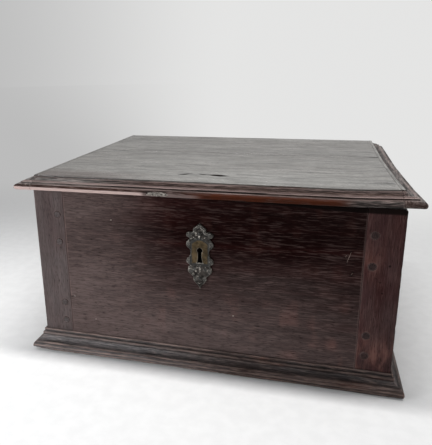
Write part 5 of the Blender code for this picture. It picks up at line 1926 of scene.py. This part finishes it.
solid = bmesh.new()
bmesh.ops.create_circle(solid, cap_ends=True, segments=96, radius=9.0)
floor_mesh = as_mesh("floor", solid)
floor = bpy.data.objects.new("floor", floor_mesh)
bpy.context.scene.collection.objects.link(floor)
floor_finish, tree, shader = new_finish("floor_paper")
place = node(tree, "TexCoord").outputs["Object"]
grit = noise(tree, place, (60, 60, 60), 4)
paper = tint(tree, between(tree, grit, 0.3, 0.7), (0.80, 0.80, 0.80, 1), (0.84, 0.84, 0.84, 1))
put(tree, shader.inputs["Base Color"], paper)
shader.inputs["Roughness"].default_value = 0.9
shader.inputs["Specular IOR Level"].default_value = 0.1
way = node(tree, "VectorMath", {0: place}, operation="NORMALIZE").outputs["Vector"]
glow = node(tree, "Emission", {"Color": room_tone(tree, way), "Strength": 1.0})
behind = between(tree, node(tree, "SeparateXYZ", {0: place}).outputs["Y"], -0.05, 0.8)
away = node(tree, "VectorMath", {0: place}, operation="LENGTH").outputs["Value"]
far = sums(tree, "MAXIMUM", behind, between(tree, away, 0.9, 2.0))
share = sums(tree, "MULTIPLY", seen_rays(tree), far)
mixed = node(tree, "MixShader", {0: share, 1: shader.outputs[0], 2: glow.outputs[0]})
put(tree, tree.nodes["Material Output"].inputs["Surface"], mixed.outputs[0])
floor_mesh.materials.append(floor_finish)
print("floor staged")

# %% [markdown]
# The room is the world's background. Seen directly or in a mirror it has the pale tone of the backdrop, but
# the light that it gives is weaker and a little blue, so that the lamps can shape the coffer.

# %% Backdrop
world = bpy.data.worlds.new("pale_room")
bpy.context.scene.world = world
world.use_nodes = True
tree = world.node_tree
room_light = tree.nodes["Background"]
room_light.inputs["Color"].default_value = (0.95, 0.97, 1.0, 1)
room_light.inputs["Strength"].default_value = 0.26
way = node(tree, "TexCoord").outputs["Generated"]
backdrop = node(tree, "Background", {"Color": room_tone(tree, way), "Strength": 1.0})
mixed = node(tree, "MixShader", {0: seen_rays(tree), 1: room_light.outputs[0], 2: backdrop.outputs[0]})
put(tree, tree.nodes["World Output"].inputs["Surface"], mixed.outputs[0])
print("room light", round(room_light.inputs["Strength"].default_value, 2))

# %% [markdown]
# A long narrow lamp hangs over the front of the coffer and keeps the shadow at its foot narrow. A low lamp
# at the front left, like a window, rakes the front and draws out its grain. A weak one at the left only lifts
# the floor there. Area lamps are chosen because their size sets how soft the shadows are.


# %% Lamps
def lamp(name, place, target, size, spread, power, colour):
    data = bpy.data.lights.new(name, "AREA")
    data.shape = "RECTANGLE"
    data.size, data.size_y = size
    data.spread = math.radians(spread)
    data.energy = power
    data.color = colour
    made = bpy.data.objects.new(name, data)
    made.location = place
    made.rotation_euler = (Vector(target) - Vector(place)).to_track_quat("-Z", "Y").to_euler()
    bpy.context.scene.collection.objects.link(made)
    return made


lamp("overhead_lamp", (0.13, -0.165, 1.40), (0.13, -0.165, 0.0), (0.95, 0.12), 120, 7.0, (1.0, 0.995, 0.985))
lamp("window_lamp", (-0.85, -0.80, 0.34), (-0.05, -0.18, 0.10), (0.45, 0.35), 120, 2.8, (0.97, 0.985, 1.0))
lamp("side_lamp", (-1.25, 0.00, 0.90), (-0.46, -0.12, 0.0), (0.4, 0.4), 60, 0.45, (1.0, 1.0, 1.0))
print("lamps:", sorted(light.name for light in bpy.data.lights))

# %% [markdown]
# The camera was found from the photograph's straight edges. It stands in front of the coffer, a little
# to the right and above, and the lens shift carries the photograph's off-centre framing.

# %% Camera
IMAGE = (432, 445)
FOCAL = 496.58
CENTRE = (189.37, 203.24)
YAW, PITCH, ROLL = 0.2538, -0.2768, -0.0143
CAMERA_PLACE = (0.12797, -0.73429, 0.38894)
ahead = Vector((-math.sin(YAW) * math.cos(PITCH), math.cos(YAW) * math.cos(PITCH), math.sin(PITCH)))
right = Vector((math.cos(YAW), math.sin(YAW), 0))
up_way = right.cross(ahead)
rolled_right = right * math.cos(ROLL) + up_way * math.sin(ROLL)
rolled_up = up_way * math.cos(ROLL) - right * math.sin(ROLL)
view = Matrix((rolled_right, rolled_up, -ahead)).transposed().to_4x4()
view.translation = CAMERA_PLACE
lens = bpy.data.cameras.new("photo_camera")
longest = max(IMAGE)
lens.sensor_width = 36
lens.lens = FOCAL * lens.sensor_width / longest
lens.shift_x = (IMAGE[0] / 2 - CENTRE[0]) / longest
lens.shift_y = (CENTRE[1] - IMAGE[1] / 2) / longest
lens.clip_start = 0.01
camera = bpy.data.objects.new("photo_camera", lens)
camera.matrix_world = view
bpy.context.scene.collection.objects.link(camera)
bpy.context.scene.camera = camera
bpy.context.scene.view_settings.view_transform = "Standard"
print("camera at", [round(value, 4) for value in camera.location])
